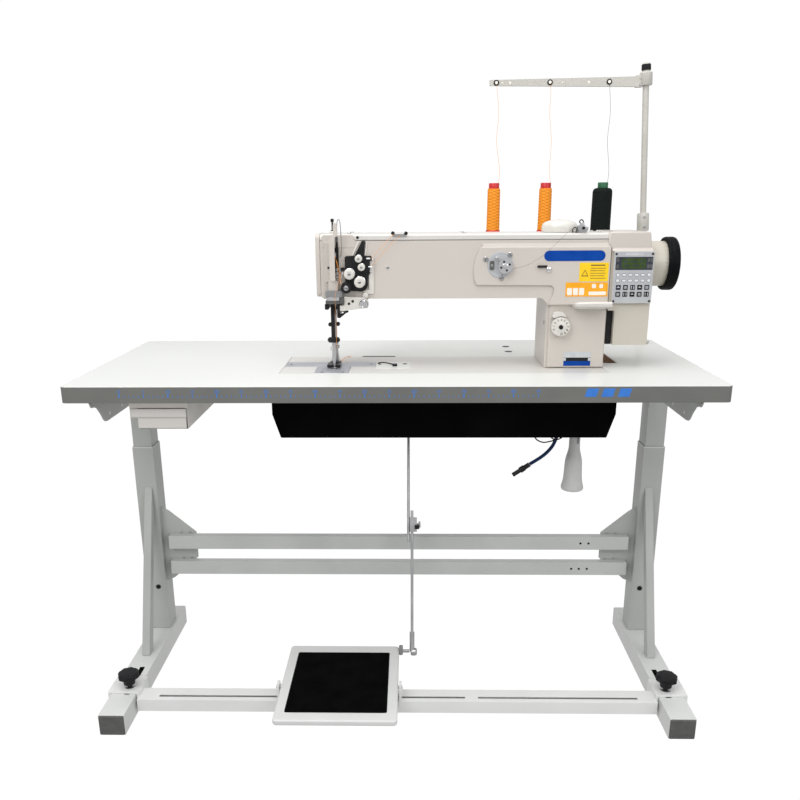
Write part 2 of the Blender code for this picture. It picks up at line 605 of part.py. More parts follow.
def make_arm():
    z0 = TABLE_Z + GAP
    x0, x1 = ARM_X
    low, high = ARM_Z
    arm = prism("arm_casting", ((x0, high), (x0, low + 0.004), (x0 + 0.006, low), (PILLAR_X - 0.012, low),
                                (PILLAR_X, low - 0.012), (PILLAR_X, z0), (x1, z0), (x1, high)), "y",
                ARM_Y, "cream", (0, BED_Y[1], HINGE_Z))
    base = block("join_pillar_base", (PILLAR_X, x1), (PILLAR_Y[0], PILLAR_Y[1]), (z0, low))
    foot_cut = block("cut_pillar_front", (PILLAR_X - 0.01, x1 + 0.01), (ARM_Y[0] - 0.01, PILLAR_Y[0]),
                     (0.7, low - 0.016))
    wall = ARM_WALL
    arm_hollow = block("cut_arm_hollow", (x0 + wall, x1 - wall), (ARM_Y[0] + wall, ARM_Y[1] - wall),
                       (low + wall, high + 0.01))
    pillar_hollow = block("cut_pillar_hollow", (PILLAR_X + wall, x1 - wall),
                          (PILLAR_Y[0] + wall, ARM_Y[1] - wall),
                          (z0 + wall, low + 0.02))
    add(arm, base)
    cut(arm, foot_cut, arm_hollow, pillar_hollow)
    x, y = NEEDLE
    add(arm, block("join_foot_bracket", (-0.119, -0.059), (ARM_Y[0] + 0.002, ARM_Y[0] + 0.014),
                   (0.909, low + 0.003)))
    cut(arm, block("cut_bar_window", (x - 0.014, x + 0.012), (y - 0.025, y + 0.040), (low - 0.01,
                                                                                      low + 0.02)),
        block("cut_take_up_slot", (-0.1325, -0.1205), (ARM_Y[0] - 0.01, ARM_Y[0] + 0.02), (0.990, 1.050)))
    shaft_y, shaft_z = SHAFT_YZ
    cut(arm, rod("cut_shaft_bearing", (x1 - 0.02, shaft_y, shaft_z), (x1 + 0.02, shaft_y, shaft_z), 0.009))


def make_head_covers():
    pivot = (0, BED_Y[1], HINGE_Z)
    outline = rounded((ARM_Y[0] + 0.001, ARM_Y[1] - 0.001), (ARM_Z[1] - 0.02, COVER_Z), 0.010, 3)
    cover = prism("top_cover", outline, "x", (ARM_X[0], ARM_X[1]), "cream", pivot)
    cut(cover, block("cut_cover_bottom", (-1, 1), (0, 1), (0.9, ARM_Z[1] + GAP)),
        block("cut_cover_inside", (ARM_X[0] + 0.010, ARM_X[1] - 0.010), (ARM_Y[0] + 0.012, ARM_Y[1] - 0.012),
              (0.9, COVER_Z - 0.004)))
    bar_y = NEEDLE[1] + PRESSER_OFFSET
    cut(cover, rod("cut_cover_regulator", (NEEDLE[0], bar_y, 1.0), (NEEDLE[0], bar_y, 1.1), 0.0045))
    face = prism("face_plate", rounded(ARM_Y, (0.940, COVER_Z), 0.010, 3), "x", (FACE_X, ARM_X[0] - GAP),
                 "cream", pivot)
    cut(face, block("cut_face_inside", (FACE_X + 0.004, 0), (ARM_Y[0] + 0.008, ARM_Y[1] - 0.008), (0.950,
                                                                                                   1.060)))

    outline = ((MOTOR_X[0], MOTOR_Z[1]), (MOTOR_X[0], 0.909), (0.477, 0.909), (0.477, MOTOR_Z[0]),
               (MOTOR_X[1], MOTOR_Z[0]), (MOTOR_X[1], 0.968), (MOTOR_X[1] - 0.004, 1.039),
               (MOTOR_X[1] - 0.0065, 1.048), (MOTOR_X[1] - 0.010, MOTOR_Z[1]))
    housing = prism("motor_housing", outline, "y", MOTOR_Y, "cream", pivot)
    neck = rod("join_neck", (MOTOR_X[1] - 0.012, *SHAFT_YZ), (0.5940, *SHAFT_YZ), 0.0485, sides=32)
    inside = block("cut_motor", (MOTOR_X[0] - 0.01, MOTOR_X[1] - 0.015),
                   (MOTOR_Y[0] + 0.006, MOTOR_Y[1] - 0.006),
                   (0.915, MOTOR_Z[1] - 0.006))
    bearing = rod("cut_neck_bearing", (0.50, *SHAFT_YZ), (0.60, *SHAFT_YZ), 0.009)
    add(housing, neck)
    cut(housing, inside, bearing)
    block("control_panel", (0.468, 0.5505), (0.178, MOTOR_Y[0] - GAP), (0.927, 1.032), "panel_grey", pivot)


def make_tension_unit():
    front = ARM_Y[0] - GAP
    outline = ((-0.107, 1.020), (-0.107, 0.968), (-0.098, 0.954), (-0.080, 0.952), (-0.068, 0.954),
               (-0.060, 0.962),
               (-0.055, 0.990), (-0.049, 1.000), (-0.049, 1.020), (-0.054, 1.027), (-0.100, 1.027))
    prism("tension_plate", outline, "y", (front - 0.006, front), "black", (0, BED_Y[1], HINGE_Z))
    knobs = (("small_tension_knob_1", -0.077, 1.0215, 0.0078, 0.013, "cream"),
             ("small_tension_knob_2", -0.071, 1.0040, 0.0078, 0.013, "cream"),
             ("large_tension_knob_1", -0.097, 0.9900, 0.0125, 0.018, "cream"),
             ("large_tension_knob_2", -0.075, 0.9730, 0.0125, 0.018, "cream"),
             ("check_spring_knob", -0.104, 0.9610, 0.0125, 0.014, "black"))
    face = front - 0.0065
    for name, x, z, radius, depth, colour in knobs:
        profile = ((0, 0), (radius, 0), (radius, depth * 0.3), (radius * 0.75, depth * 0.34),
                   (radius * 0.75, depth * 0.5), (radius * 0.92, depth * 0.55), (radius * 0.85, depth),
                   (0, depth))
        turned(name, profile, (x, face, z), (0, -1, 0), colour, sides=20)


def make_controls():
    """The winder, the stitch dial, the reverse lever, the foot-lift dial and the regulator screw."""
    front = ARM_Y[0] - GAP
    rod("winder_plate", (0.226, front, 1.007), (0.226, front - 0.006, 1.007), 0.0275, "metal",
        (0, BED_Y[1], HINGE_Z), 28)
    face = front - 0.0068
    bobbin = ((0.003, 0), (0.0155, 0), (0.0155, 0.0012), (0.006, 0.0012), (0.006, 0.0098), (0.0155, 0.0098),
              (0.0155, 0.011), (0.003, 0.011))
    turned("bobbin", bobbin, (0.236, face, 1.005), (0, -1, 0), "metal", ring=True)

    pillar = PILLAR_Y[0] - GAP
    dial = ((0, 0), (0.0205, 0), (0.0205, 0.010), (0.0185, 0.013), (0.0185, 0.016), (0.006, 0.016),
            (0.006, 0.026), (0, 0.026))
    turned("stitch_dial", dial, (0.361, pillar, 0.875), (0, -1, 0), "cream", sides=32)

    pivot = (0.424, 0.183, 0.918)
    hub = rod("reverse_lever", (0.385, *pivot[1:]), (0.4625, *pivot[1:]), 0.0065, "cream", pivot)
    lip = prism("join_reverse_lip", ((0.183, 0.9125), (0.183, 0.9235), (0.150, 0.9310), (0.147, 0.9260),
                                     (0.150, 0.9180)), "x", (0.385, 0.4625))
    add(hub, lip)

    dome = ((0, 0), (0.0385, 0), (0.0385, 0.008), (0.034, 0.018), (0.024, 0.0235), (0.011, 0.026),
            (0, 0.0265))
    turned("foot_lift_dial", dome, (0.358, 0.240, COVER_Z + GAP), (0, 0, 1), "cream", sides=32)

    x, y = NEEDLE[0], NEEDLE[1] + PRESSER_OFFSET
    screw = ((0, 1.0535), (0.0038, 1.0535), (0.0038, COVER_Z + 0.012), (0.0065, COVER_Z + 0.014),
             (0.0065, 1.103), (0, 1.103))
    turned("regulator_screw", screw, (x, y, 0), (0, 0, 1), "black", sides=16)


def make_drive():
    """The main shaft with its crank, the handwheel, and the hook on its lower shaft."""
    y, z = SHAFT_YZ
    shaft = ((0, 0), (0.016, 0), (0.016, 0.010), (0.0075, 0.010), (0.0075, 0.7070), (0, 0.7070))
    turned("main_shaft", shaft, (-0.112, y, z), (1, 0, 0), "metal", sides=16)
    depth = WHEEL_X[1] - WHEEL_X[0]
    wheel = ((0, 0.0065), (0.0498, 0.0065), (0.0505, 0), (WHEEL_R - 0.004, 0), (WHEEL_R, 0.004),
             (WHEEL_R, depth - 0.006), (WHEEL_R - 0.005, depth), (0.034, depth - 0.004),
             (0.020, depth - 0.001),
             (0, depth - 0.001))
    turned("handwheel", wheel, (WHEEL_X[0], y, z), (1, 0, 0), "black", sides=40)

    y, z = HOOK_YZ
    hook = ((0, 0), (0.012, 0), (0.019, 0.003), (0.019, 0.017), (0.010, 0.022), (0.006, 0.022),
            (0.006, 0.425), (0, 0.425))
    turned("hook", hook, (-0.131, y, z), (1, 0, 0), "metal", sides=24)


def make_bars():
    x, y = NEEDLE
    bar = rod("needle_bar", (x, y, 0.842), (x, y, 1.046), 0.0036, "metal", (x, y, 0.845), 12)
    clamp = block("join_needle_clamp", (x - 0.006, x + 0.006), (y - 0.006, y + 0.006), (0.830, 0.846))
    needle = turned("join_needle", ((0, 0.7885), (0.0011, 0.793), (0.0011, 0.834), (0, 0.834)), (x, y, 0),
                    (0, 0, 1),
                    sides=8)
    add(bar, clamp, needle)

    y_walk = 0.208
    walk = block("walking_foot", (x - 0.0065, x + 0.0065), (y_walk - 0.005, y_walk + 0.005),
                 (0.846, 1.000), "black",
                 (x, y_walk, 0.846))
    add(walk, block("join_walk_clamp", (x - 0.012, x + 0.012), (y_walk - 0.008, y_walk + 0.0065), (0.834,
                                                                                                   0.850)),
        block("join_walk_shank", (x - 0.0040, x + 0.0040), (y_walk - 0.0045, y_walk + 0.0045),
              (0.796, 0.836)),
        block("join_walk_toe", (x - 0.0025, x + 0.0025), (y_walk - 0.016, y_walk + 0.0045), (0.7835, 0.798)))

    y_press = NEEDLE[1] + PRESSER_OFFSET
    press = rod("presser_bar", (x, y_press, 0.838), (x, y_press, 1.040), 0.0045, "metal",
                (x, y_press, 0.84), 12)
    shank = block("join_press_shank", (x - 0.005, x + 0.005), (y_press - 0.007, y_press + 0.007),
                  (0.792, 0.842))
    bridge = block("join_press_bridge", (x - 0.0125, x + 0.0125), (y_press - 0.011, y_press + 0.008),
                   (0.7832, 0.7945))
    add(press, shank, bridge)
    for i, side in enumerate((-1, 1)):
        toe_x = tuple(sorted((x + side * 0.0045, x + side * 0.0125)))
        add(press, prism(f"join_press_toe_{i}", ((0.186, 0.790), (0.189, 0.7832), (y_press - 0.008, 0.7832),
                                                 (y_press - 0.008, 0.7935), (0.190, 0.7935)), "x", toe_x))

    pivot = (-0.1265, 0.235, 1.020)
    lever = prism("take_up_lever", ((0.243, 1.013), (0.243, 1.027), (0.176, 1.034), (0.168, 1.034), (0.168,
                                                                                                     1.026),
                                    (0.176, 1.026)), "x", (-0.1285, -0.1245), "metal", pivot)
    cut(lever, rod("cut_take_up_eye", (-0.2, 0.172, 1.030), (0, 0.172, 1.030), 0.0018, sides=10))

    pivot = (-0.128, 0.262, 0.910)
    hub = rod("presser_lifter", (pivot[0], 0.256, pivot[2]), (pivot[0], 0.266, pivot[2]), 0.007, "black",
              pivot)
    add(hub, prism("join_lifter_arm", ((-0.128, 0.9165), (-0.131, 0.904), (-0.112, 0.897), (-0.107, 0.899),
                                       (-0.108, 0.904)), "y", (0.257, 0.265)))


def build():
    clear_scene()
    origin = bpy.data.objects.new("origin", None)
    bpy.context.collection.objects.link(origin)
    origin.location = (0, -FOOTPRINT_MID_Y, 0)
    for label, side in (("left", -1), ("right", 1)):
        make_foot(label, side)
        make_outer_column(label, side)
        make_brace(label, side)
        make_inner_column(label, side)
        make_clamp_knob(label, side)
    make_rail("upper_rail", RAIL_Z[0])
    make_rail("lower_rail", RAIL_Z[1])
    make_crossbar()
    make_pedal()
    make_treadle_rods()
    make_speed_control()
    make_table_top()
    make_drawer()
    make_oil_pan()
    make_oil_bottle()
    make_air_hose()
    make_thread_stand()
    make_cone("orange_cone_1", CONE_X[0], 0.0163, 0.0154, 0.0130, 0.126, "orange")
    make_cone("orange_cone_2", CONE_X[1], 0.0163, 0.0154, 0.0130, 0.126, "orange")
    make_cone("dark_cone", CONE_X[2], 0.0245, 0.0241, 0.0127, 0.126, "dark_thread")
    make_bed()
    make_needle_plate()
    make_arm()
    make_head_covers()
    make_tension_unit()
    make_controls()
    make_drive()
    make_bars()


build()
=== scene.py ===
"""The looks of the long-arm leather sewing machine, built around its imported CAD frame.

Places are worked out from the table, in millimetres: X from the table's middle, Y from its front edge and Z
from the floor. The function at() turns them into the frame's own metres.
"""
import json
import math

import bmesh
import bpy
from mathutils import Matrix, Vector

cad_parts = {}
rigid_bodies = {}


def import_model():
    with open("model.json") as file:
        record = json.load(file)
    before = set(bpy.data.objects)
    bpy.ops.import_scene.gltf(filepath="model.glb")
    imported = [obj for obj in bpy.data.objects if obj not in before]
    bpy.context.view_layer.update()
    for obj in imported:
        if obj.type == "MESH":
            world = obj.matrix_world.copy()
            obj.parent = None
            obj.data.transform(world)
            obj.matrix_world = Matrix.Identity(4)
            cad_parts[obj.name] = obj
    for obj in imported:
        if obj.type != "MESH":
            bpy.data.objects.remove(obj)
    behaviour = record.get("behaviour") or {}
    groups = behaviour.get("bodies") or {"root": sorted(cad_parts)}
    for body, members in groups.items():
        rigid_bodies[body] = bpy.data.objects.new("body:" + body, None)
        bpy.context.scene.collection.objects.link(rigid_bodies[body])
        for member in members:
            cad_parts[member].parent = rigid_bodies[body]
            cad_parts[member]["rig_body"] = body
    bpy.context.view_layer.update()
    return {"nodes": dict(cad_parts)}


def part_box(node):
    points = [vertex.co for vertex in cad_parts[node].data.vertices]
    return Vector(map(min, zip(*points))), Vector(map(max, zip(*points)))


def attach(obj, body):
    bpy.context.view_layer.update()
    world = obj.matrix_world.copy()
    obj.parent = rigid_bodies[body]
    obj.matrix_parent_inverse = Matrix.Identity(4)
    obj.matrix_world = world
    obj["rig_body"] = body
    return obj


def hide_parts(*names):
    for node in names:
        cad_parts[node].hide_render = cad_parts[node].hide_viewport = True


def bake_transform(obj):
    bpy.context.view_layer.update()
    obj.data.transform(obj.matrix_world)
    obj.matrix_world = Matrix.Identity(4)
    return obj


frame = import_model()
NODES = frame["nodes"]

MM = 0.001                      # one millimetre in the frame's metres
UP, DOWN = (0, 0, 1), (0, 0, -1)
TO_FRONT, TO_BACK = (0, -1, 0), (0, 1, 0)
TO_RIGHT = (1, 0, 0)
SIDES = (("left", -1), ("right", 1))

TABLE_LOW, TABLE_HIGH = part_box("table_top")
FRONT = TABLE_LOW.y / MM
TOP = TABLE_HIGH.z / MM
THICK = TOP - TABLE_LOW.z / MM


def mm(x, y, z):
    """An offset in millimetres, as a vector in metres."""
    return Vector((x * MM, y * MM, z * MM))


def at(x, y, z):
    """A place in the table's own millimetres, as a vector in the frame's metres."""
    return mm(x, FRONT + y, z)


# ---- camera --------------------------------------------------------------------------------------
FOCAL_PIXELS = 821.8            # focal length for an image 800 wide
IMAGE = 800
PITCH = 0.3026
YAW = 0.0224
ROLL = -0.0065


def make_camera():
    data = bpy.data.cameras.new("camera")
    data.sensor_width = 36.0
    data.lens = data.sensor_width * FOCAL_PIXELS / IMAGE
    data.shift_x = 0.0087
    data.shift_y = 0.0799
    data.clip_start = 0.05
    camera = bpy.data.objects.new("camera", data)
    bpy.context.scene.collection.objects.link(camera)
    turn = (Matrix.Rotation(YAW, 4, "Z") @ Matrix.Rotation(math.pi / 2 - PITCH, 4, "X")
            @ Matrix.Rotation(ROLL, 4, "Z"))
    camera.matrix_world = Matrix.Translation(at(34.4, -1624.8, 1125.8)) @ turn
    bpy.context.scene.camera = camera


make_camera()


# ---- materials -----------------------------------------------------------------------------------
TURNS_PER_METRE = 430.0          # how fine the cross-wound thread's lines are
NUMERAL_HEIGHT = 0.7             # a numeral's height as a share of its font size


def new_material(name, colour, roughness, metallic=0.0):
    made = bpy.data.materials.new(name)
    made.use_nodes = True
    shader = made.node_tree.nodes["Principled BSDF"]
    shader.inputs["Base Color"].default_value = (*colour, 1.0)
    shader.inputs["Roughness"].default_value = roughness
    shader.inputs["Metallic"].default_value = metallic
    return made


def node(tree, kind, **inputs):
    made = tree.nodes.new(kind)
    for key, value in inputs.items():
        made.inputs[key.replace("_", " ")].default_value = value
    return made


def object_coordinates(tree):
    return tree.nodes.new("ShaderNodeTexCoord").outputs["Object"]


def noise(tree, scale, detail=3.0, stretch=None):
    """Noise in the object's own coordinates, stretched along an axis for brushed or wound surfaces."""
    source = object_coordinates(tree)
    if stretch:
        mapping = tree.nodes.new("ShaderNodeMapping")
        mapping.inputs["Scale"].default_value = stretch
        tree.links.new(source, mapping.inputs["Vector"])
        source = mapping.outputs["Vector"]
    made = node(tree, "ShaderNodeTexNoise", Scale=scale, Detail=detail)
    tree.links.new(source, made.inputs["Vector"])
    return made.outputs["Fac"]


def ramp(tree, source, low, high, start=0.3, end=0.7):
    made = tree.nodes.new("ShaderNodeValToRGB")
    made.color_ramp.elements[0].position = start
    made.color_ramp.elements[1].position = end
    made.color_ramp.elements[0].color = (*low, 1.0)
    made.color_ramp.elements[1].color = (*high, 1.0)
    tree.links.new(source, made.inputs["Fac"])
    return made.outputs["Color"]


def remap(tree, source, low, high):
    made = node(tree, "ShaderNodeMapRange", To_Min=low, To_Max=high)
    tree.links.new(source, made.inputs["Value"])
    return made.outputs["Result"]


def bump(tree, source, strength, distance):
    made = node(tree, "ShaderNodeBump", Strength=strength, Distance=distance)
    tree.links.new(source, made.inputs["Height"])
    shader = tree.nodes["Principled BSDF"]
    tree.links.new(made.outputs["Normal"], shader.inputs["Normal"])


def varied(name, low, high, roughness, metallic=0.0, patch=60.0, grain=900.0, depth=0.04, stretch=None,
           coat=0.0, specular=0.5):
    """A finish with soft patches of colour, uneven gloss and a fine grain, whose depth is in millimetres."""
    made = new_material(name, high, sum(roughness) / 2, metallic)
    tree = made.node_tree
    shader = tree.nodes["Principled BSDF"]
    patches = noise(tree, patch, 4.0)
    tree.links.new(ramp(tree, patches, low, high), shader.inputs["Base Color"])
    fine = noise(tree, grain, 2.0, stretch)
    tree.links.new(remap(tree, fine, *roughness), shader.inputs["Roughness"])
    bump(tree, fine, 0.35, depth * MM)
    shader.inputs["Specular IOR Level"].default_value = specular
    shader.inputs["Coat Weight"].default_value = coat
    shader.inputs["Coat Roughness"].default_value = 0.12
    return made


def calculate(tree, operation, *values):
    """A math node. Each value is a number or another node's output."""
    made = tree.nodes.new("ShaderNodeMath")
    made.operation = operation
    for i, value in enumerate(values):
        if isinstance(value, float):
            made.inputs[i].default_value = value
        else:
            tree.links.new(value, made.inputs[i])
    return made.outputs[0]


def thread_material(name, low, high):
    """Cross-wound thread: fine diagonal lines both ways."""
    made = new_material(name, high, 0.75)
    tree = made.node_tree
    shader = tree.nodes["Principled BSDF"]
    split = tree.nodes.new("ShaderNodeSeparateXYZ")
    tree.links.new(object_coordinates(tree), split.inputs["Vector"])
    lines = []
    for lean in (0.42, -0.30):
        across = calculate(tree, "MULTIPLY", split.outputs["X"], lean)
        total = calculate(tree, "ADD", across, split.outputs["Z"])
        wave = calculate(tree, "SINE", calculate(tree, "MULTIPLY", total, TURNS_PER_METRE))
        lines.append(calculate(tree, "ABSOLUTE", wave))
    lower = calculate(tree, "MINIMUM", *lines)
    tree.links.new(ramp(tree, lower, low, high, 0.0, 0.30), shader.inputs["Base Color"])
    bump(tree, lower, 0.6, 0.0003)
    shader.inputs["Specular IOR Level"].default_value = 0.12
    return made


STAND_GRAIN = dict(patch=7.0, grain=1400.0, depth=0.05)

# each finish: its dark and light colours, its range of roughness and what else it sets
FINISHES = {
    "cream_paint": ((0.565, 0.52, 0.475), (0.595, 0.55, 0.505), (0.3, 0.42),
                    dict(patch=3.0, grain=420.0, depth=0.06, coat=0.25)),
    "cream_cover": ((0.63, 0.605, 0.575), (0.66, 0.635, 0.605), (0.3, 0.4), dict(patch=4.0, coat=0.2)),
    "motor_paint": ((0.52, 0.485, 0.415), (0.56, 0.525, 0.455), (0.32, 0.42), dict(patch=4.0, coat=0.15)),
    "bed_paint": ((0.62, 0.605, 0.575), (0.655, 0.64, 0.61), (0.3, 0.4), dict(patch=4.0, coat=0.15)),
    "cream_plastic": ((0.64, 0.62, 0.575), (0.7, 0.68, 0.635), (0.28, 0.38), dict(patch=40.0, coat=0.2)),
    "cream_sheet": ((0.7, 0.66, 0.62), (0.76, 0.72, 0.68), (0.35, 0.5), dict(patch=12.0)),
    "laminate": ((0.7, 0.71, 0.685), (0.73, 0.74, 0.715), (0.28, 0.36),
                 dict(patch=2.5, grain=700.0, depth=0.03, coat=0.15)),
    "edge_grey": ((0.145, 0.148, 0.138), (0.165, 0.168, 0.155), (0.45, 0.6), dict(patch=14.0, grain=600.0)),
    "bar_grey": ((0.2, 0.2, 0.205), (0.27, 0.27, 0.275), (0.3, 0.4), {}),
    "ruler_blue": ((0.03, 0.18, 0.62), (0.04, 0.22, 0.7), (0.4, 0.5), {}),
    "chipboard": ((0.18, 0.1, 0.05), (0.36, 0.23, 0.13), (0.8, 0.95), dict(patch=260.0, depth=0.3)),
    "stand_paint": ((0.53, 0.545, 0.53), (0.6, 0.612, 0.598), (0.34, 0.5), STAND_GRAIN),
    # painted shade and light: the next four finishes are darker and lighter copies of the stand's one grey
    # paint, darker as painted shade on the columns and braces under the table, lighter as painted light on the
    # feet, collars, pedal and crossbar near the floor
    "stand_paint_shaded": ((0.44, 0.455, 0.435), (0.5, 0.512, 0.49), (0.34, 0.5), STAND_GRAIN),
    "stand_paint_lit": ((0.66, 0.672, 0.66), (0.73, 0.74, 0.727), (0.34, 0.5), STAND_GRAIN),
    "stand_paint_lit_pedal": ((0.68, 0.685, 0.675), (0.75, 0.755, 0.745), (0.34, 0.5), dict(patch=7.0, grain=420.0)),
    "stand_paint_lit_most": ((0.76, 0.765, 0.755), (0.83, 0.835, 0.825), (0.34, 0.5), STAND_GRAIN),
    "pole_paint": ((0.49, 0.475, 0.435), (0.54, 0.525, 0.485), (0.34, 0.48),
                   dict(patch=20.0, grain=1400.0, depth=0.04)),
    "cap_grey": ((0.075, 0.077, 0.074), (0.11, 0.112, 0.108), (0.5, 0.7), {}),
    "black_plastic": ((0.01, 0.01, 0.011), (0.02, 0.02, 0.022), (0.38, 0.55),
                      dict(patch=30.0, grain=1800.0, depth=0.06, specular=0.12)),
    "black_metal": ((0.008, 0.008, 0.009), (0.018, 0.018, 0.02), (0.22, 0.38), dict(specular=0.25)),
    "pan_black": ((0.001, 0.001, 0.0012), (0.003, 0.003, 0.0033), (0.45, 0.6), dict(patch=9.0, specular=0.02)),
    "wheel_black": ((0.002, 0.0025, 0.003), (0.006, 0.0065, 0.007), (0.42, 0.55),
                    dict(patch=30.0, grain=1500.0, specular=0.07)),
    "rubber_mat": ((0.001, 0.001, 0.0012), (0.003, 0.003, 0.0032), (0.6, 0.85),
                   dict(patch=25.0, grain=1500.0, depth=0.1, specular=0.02)),
    "steel": ((0.42, 0.42, 0.43), (0.58, 0.58, 0.59), (0.22, 0.4),
              dict(metallic=1.0, patch=30.0, grain=500.0, stretch=(0.05, 1.0, 1.0))),
    "plate_steel": ((0.52, 0.53, 0.57), (0.62, 0.63, 0.67), (0.38, 0.5),
                    dict(metallic=0.85, patch=20.0, grain=700.0, stretch=(0.05, 1.0, 1.0))),
    "chrome": ((0.68, 0.68, 0.7), (0.8, 0.8, 0.82), (0.08, 0.16), dict(metallic=1.0)),
    "panel_grey": ((0.42, 0.43, 0.45), (0.48, 0.49, 0.51), (0.42, 0.52), dict(patch=30.0)),
    "dark_frame": ((0.035, 0.04, 0.055), (0.05, 0.055, 0.07), (0.3, 0.4), dict(specular=0.15)),
    "lcd_green": ((0.035, 0.065, 0.018), (0.055, 0.095, 0.025), (0.15, 0.22), dict(specular=0.15)),
    "badge_blue": ((0.003, 0.05, 0.3), (0.005, 0.062, 0.35), (0.2, 0.3), dict(specular=0.1)),
    "badge_silver": ((0.55, 0.57, 0.6), (0.66, 0.68, 0.7), (0.25, 0.35), dict(metallic=0.4, patch=90.0)),
    "label_yellow": ((0.9, 0.58, 0.02), (0.95, 0.64, 0.03), (0.3, 0.4), dict(patch=70.0, specular=0.15)),
    "label_orange": ((0.88, 0.38, 0.02), (0.92, 0.43, 0.03), (0.3, 0.4), dict(patch=70.0, specular=0.15)),
    "label_white": ((0.84, 0.8, 0.72), (0.9, 0.87, 0.8), (0.35, 0.45), dict(patch=70.0)),
    "label_ink": ((0.16, 0.09, 0.02), (0.2, 0.12, 0.03), (0.4, 0.5), dict(patch=70.0)),
    "cone_red": ((0.46, 0.012, 0.016), (0.6, 0.022, 0.026), (0.3, 0.45), {}),
    "cone_green": ((0.004, 0.085, 0.03), (0.008, 0.13, 0.048), (0.3, 0.45), {}),
    "blue_hose": ((0.01, 0.025, 0.09), (0.015, 0.04, 0.13), (0.25, 0.4), dict(patch=40.0, specular=0.15)),
    "wire_black": ((0.01, 0.01, 0.01), (0.018, 0.018, 0.018), (0.35, 0.5), dict(specular=0.15)),
    "key_light": ((0.66, 0.68, 0.7), (0.72, 0.74, 0.76), (0.4, 0.5), {}),
}


def make_materials():
    made = {name: varied(name, low, high, roughness, **more)
            for name, (low, high, roughness, more) in FINISHES.items()}
    made["orange_thread"] = thread_material("orange_thread", (0.36, 0.075, 0.005), (0.95, 0.34, 0.036))
    made["dark_thread"] = thread_material("dark_thread", (0.002, 0.004, 0.0035), (0.008, 0.012, 0.011))
    made["orange_line"] = new_material("orange_line", (0.95, 0.36, 0.05), 0.7)
    made["dark_line"] = new_material("dark_line", (0.08, 0.08, 0.085), 0.7)
    made["milky"] = milky_material()
    return made


def milky_material():
    made = varied("milky", (0.62, 0.62, 0.61), (0.66, 0.66, 0.65), (0.28, 0.36), patch=25.0)
    shader = made.node_tree.nodes["Principled BSDF"]
    shader.inputs["Transmission Weight"].default_value = 0.08
    shader.inputs["IOR"].default_value = 1.45
    return made


MATERIALS = make_materials()


# ---- shapes --------------------------------------------------------------------------------------
def finish_piece(name, shape, material, body="head", bevel=0.0, segments=2, slot=None, replaced=(), angle=35):
    """Turn a bmesh in world places into a piece with the given finish.

    It rides on the body, unless that is None. The bevel is in millimetres.
    """
    bmesh.ops.recalc_face_normals(shape, faces=shape.faces)
    mesh = bpy.data.meshes.new(name)
    shape.to_mesh(mesh)
    shape.free()
    mesh.shade_smooth()
    mesh.set_sharp_from_angle(angle=math.radians(angle))
    piece = bpy.data.objects.new(name, mesh)
    bpy.context.scene.collection.objects.link(piece)
    mesh.materials.append(MATERIALS[material])
    if bevel:
        edge = piece.modifiers.new("bevel", "BEVEL")
        edge.width = bevel * MM
        edge.segments = segments
        edge.limit_method = "ANGLE"
        edge.angle_limit = math.radians(28)
        edge.harden_normals = True
    if body:
        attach(piece, body)
    if replaced:
        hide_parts(*replaced)
    return piece


def block(name, x, y, z, material, body="head", bevel=1, **more):
    shape = bmesh.new()
    bmesh.ops.create_cube(shape, size=1.0)
    low, high = at(x[0], y[0], z[0]), at(x[1], y[1], z[1])
    for vert in shape.verts:
        vert.co = Vector([low[i] if vert.co[i] < 0 else high[i] for i in range(3)])
    return finish_piece(name, shape, material, body, bevel, **more)


def join_rows(shape, low, high):
    """Faces all the way round between two rows of the same length."""
    for i in range(len(low)):
        j = (i + 1) % len(low)
        shape.faces.new((low[i], low[j], high[j], high[i]))


def slab(name, outline, span, material, body="head", bevel=1, axis="y", **more):
    """Extrude an outline of the other two coordinates, in X, Y, Z order, along an axis."""
    shape = bmesh.new()
    loops = []
    for level in span:
        loop = []
        for a, b in outline:
            place = {"x": (level, a, b), "y": (a, level, b), "z": (a, b, level)}[axis]
            loop.append(shape.verts.new(at(*place)))
        loops.append(loop)
    shape.faces.new(loops[0])
    shape.faces.new(loops[1][::-1])
    join_rows(shape, *loops)
    return finish_piece(name, shape, material, body, bevel, **more)


def disc(radius, height):
    return (0, 0), (radius, 0), (radius, height), (0, height)


def ring(inner, outer, height):
    return (inner, 0), (outer, 0), (outer, height), (inner, height)


def lathe_into(shape, profile, base, way=TO_FRONT, sides=48):
    """Add a closed turned body to a bmesh. The profile lists (radius, height) from one end to the other."""
    turn = Vector(UP).rotation_difference(Vector(way).normalized()).to_matrix()
    rows = []
    for radius, height in profile:
        steps = sides if radius > 0 else 1
        row = []
        for i in range(steps):
            angle = 2 * math.pi * (i + 0.5) / sides
            local = mm(radius * math.cos(angle), radius * math.sin(angle), height)
            row.append(shape.verts.new(Vector(base) + turn @ local))
        rows.append(row)
    for low, high in zip(rows, rows[1:]):
        for i in range(sides):
            j = (i + 1) % sides
            if len(low) == 1:
                shape.faces.new((low[0], high[j], high[i]))
            elif len(high) == 1:
                shape.faces.new((low[i], low[j], high[0]))
            else:
                shape.faces.new((low[i], low[j], high[j], high[i]))
    for row in (rows[0], rows[-1]):
        if len(row) > 1:
            shape.faces.new(row)


def lathe(name, profile, base, material, body="head", way=TO_FRONT, sides=48, **more):
    shape = bmesh.new()
    lathe_into(shape, profile, base, way, sides)
    return finish_piece(name, shape, material, body, **more)


def arc(centre, radius, start, end, steps):
    """Points on an arc, with its angles in degrees."""
    points = []
    for i in range(steps + 1):
        angle = math.radians(start + (end - start) * i / steps)
        points.append((centre[0] + radius * math.cos(angle), centre[1] + radius * math.sin(angle)))
    return points


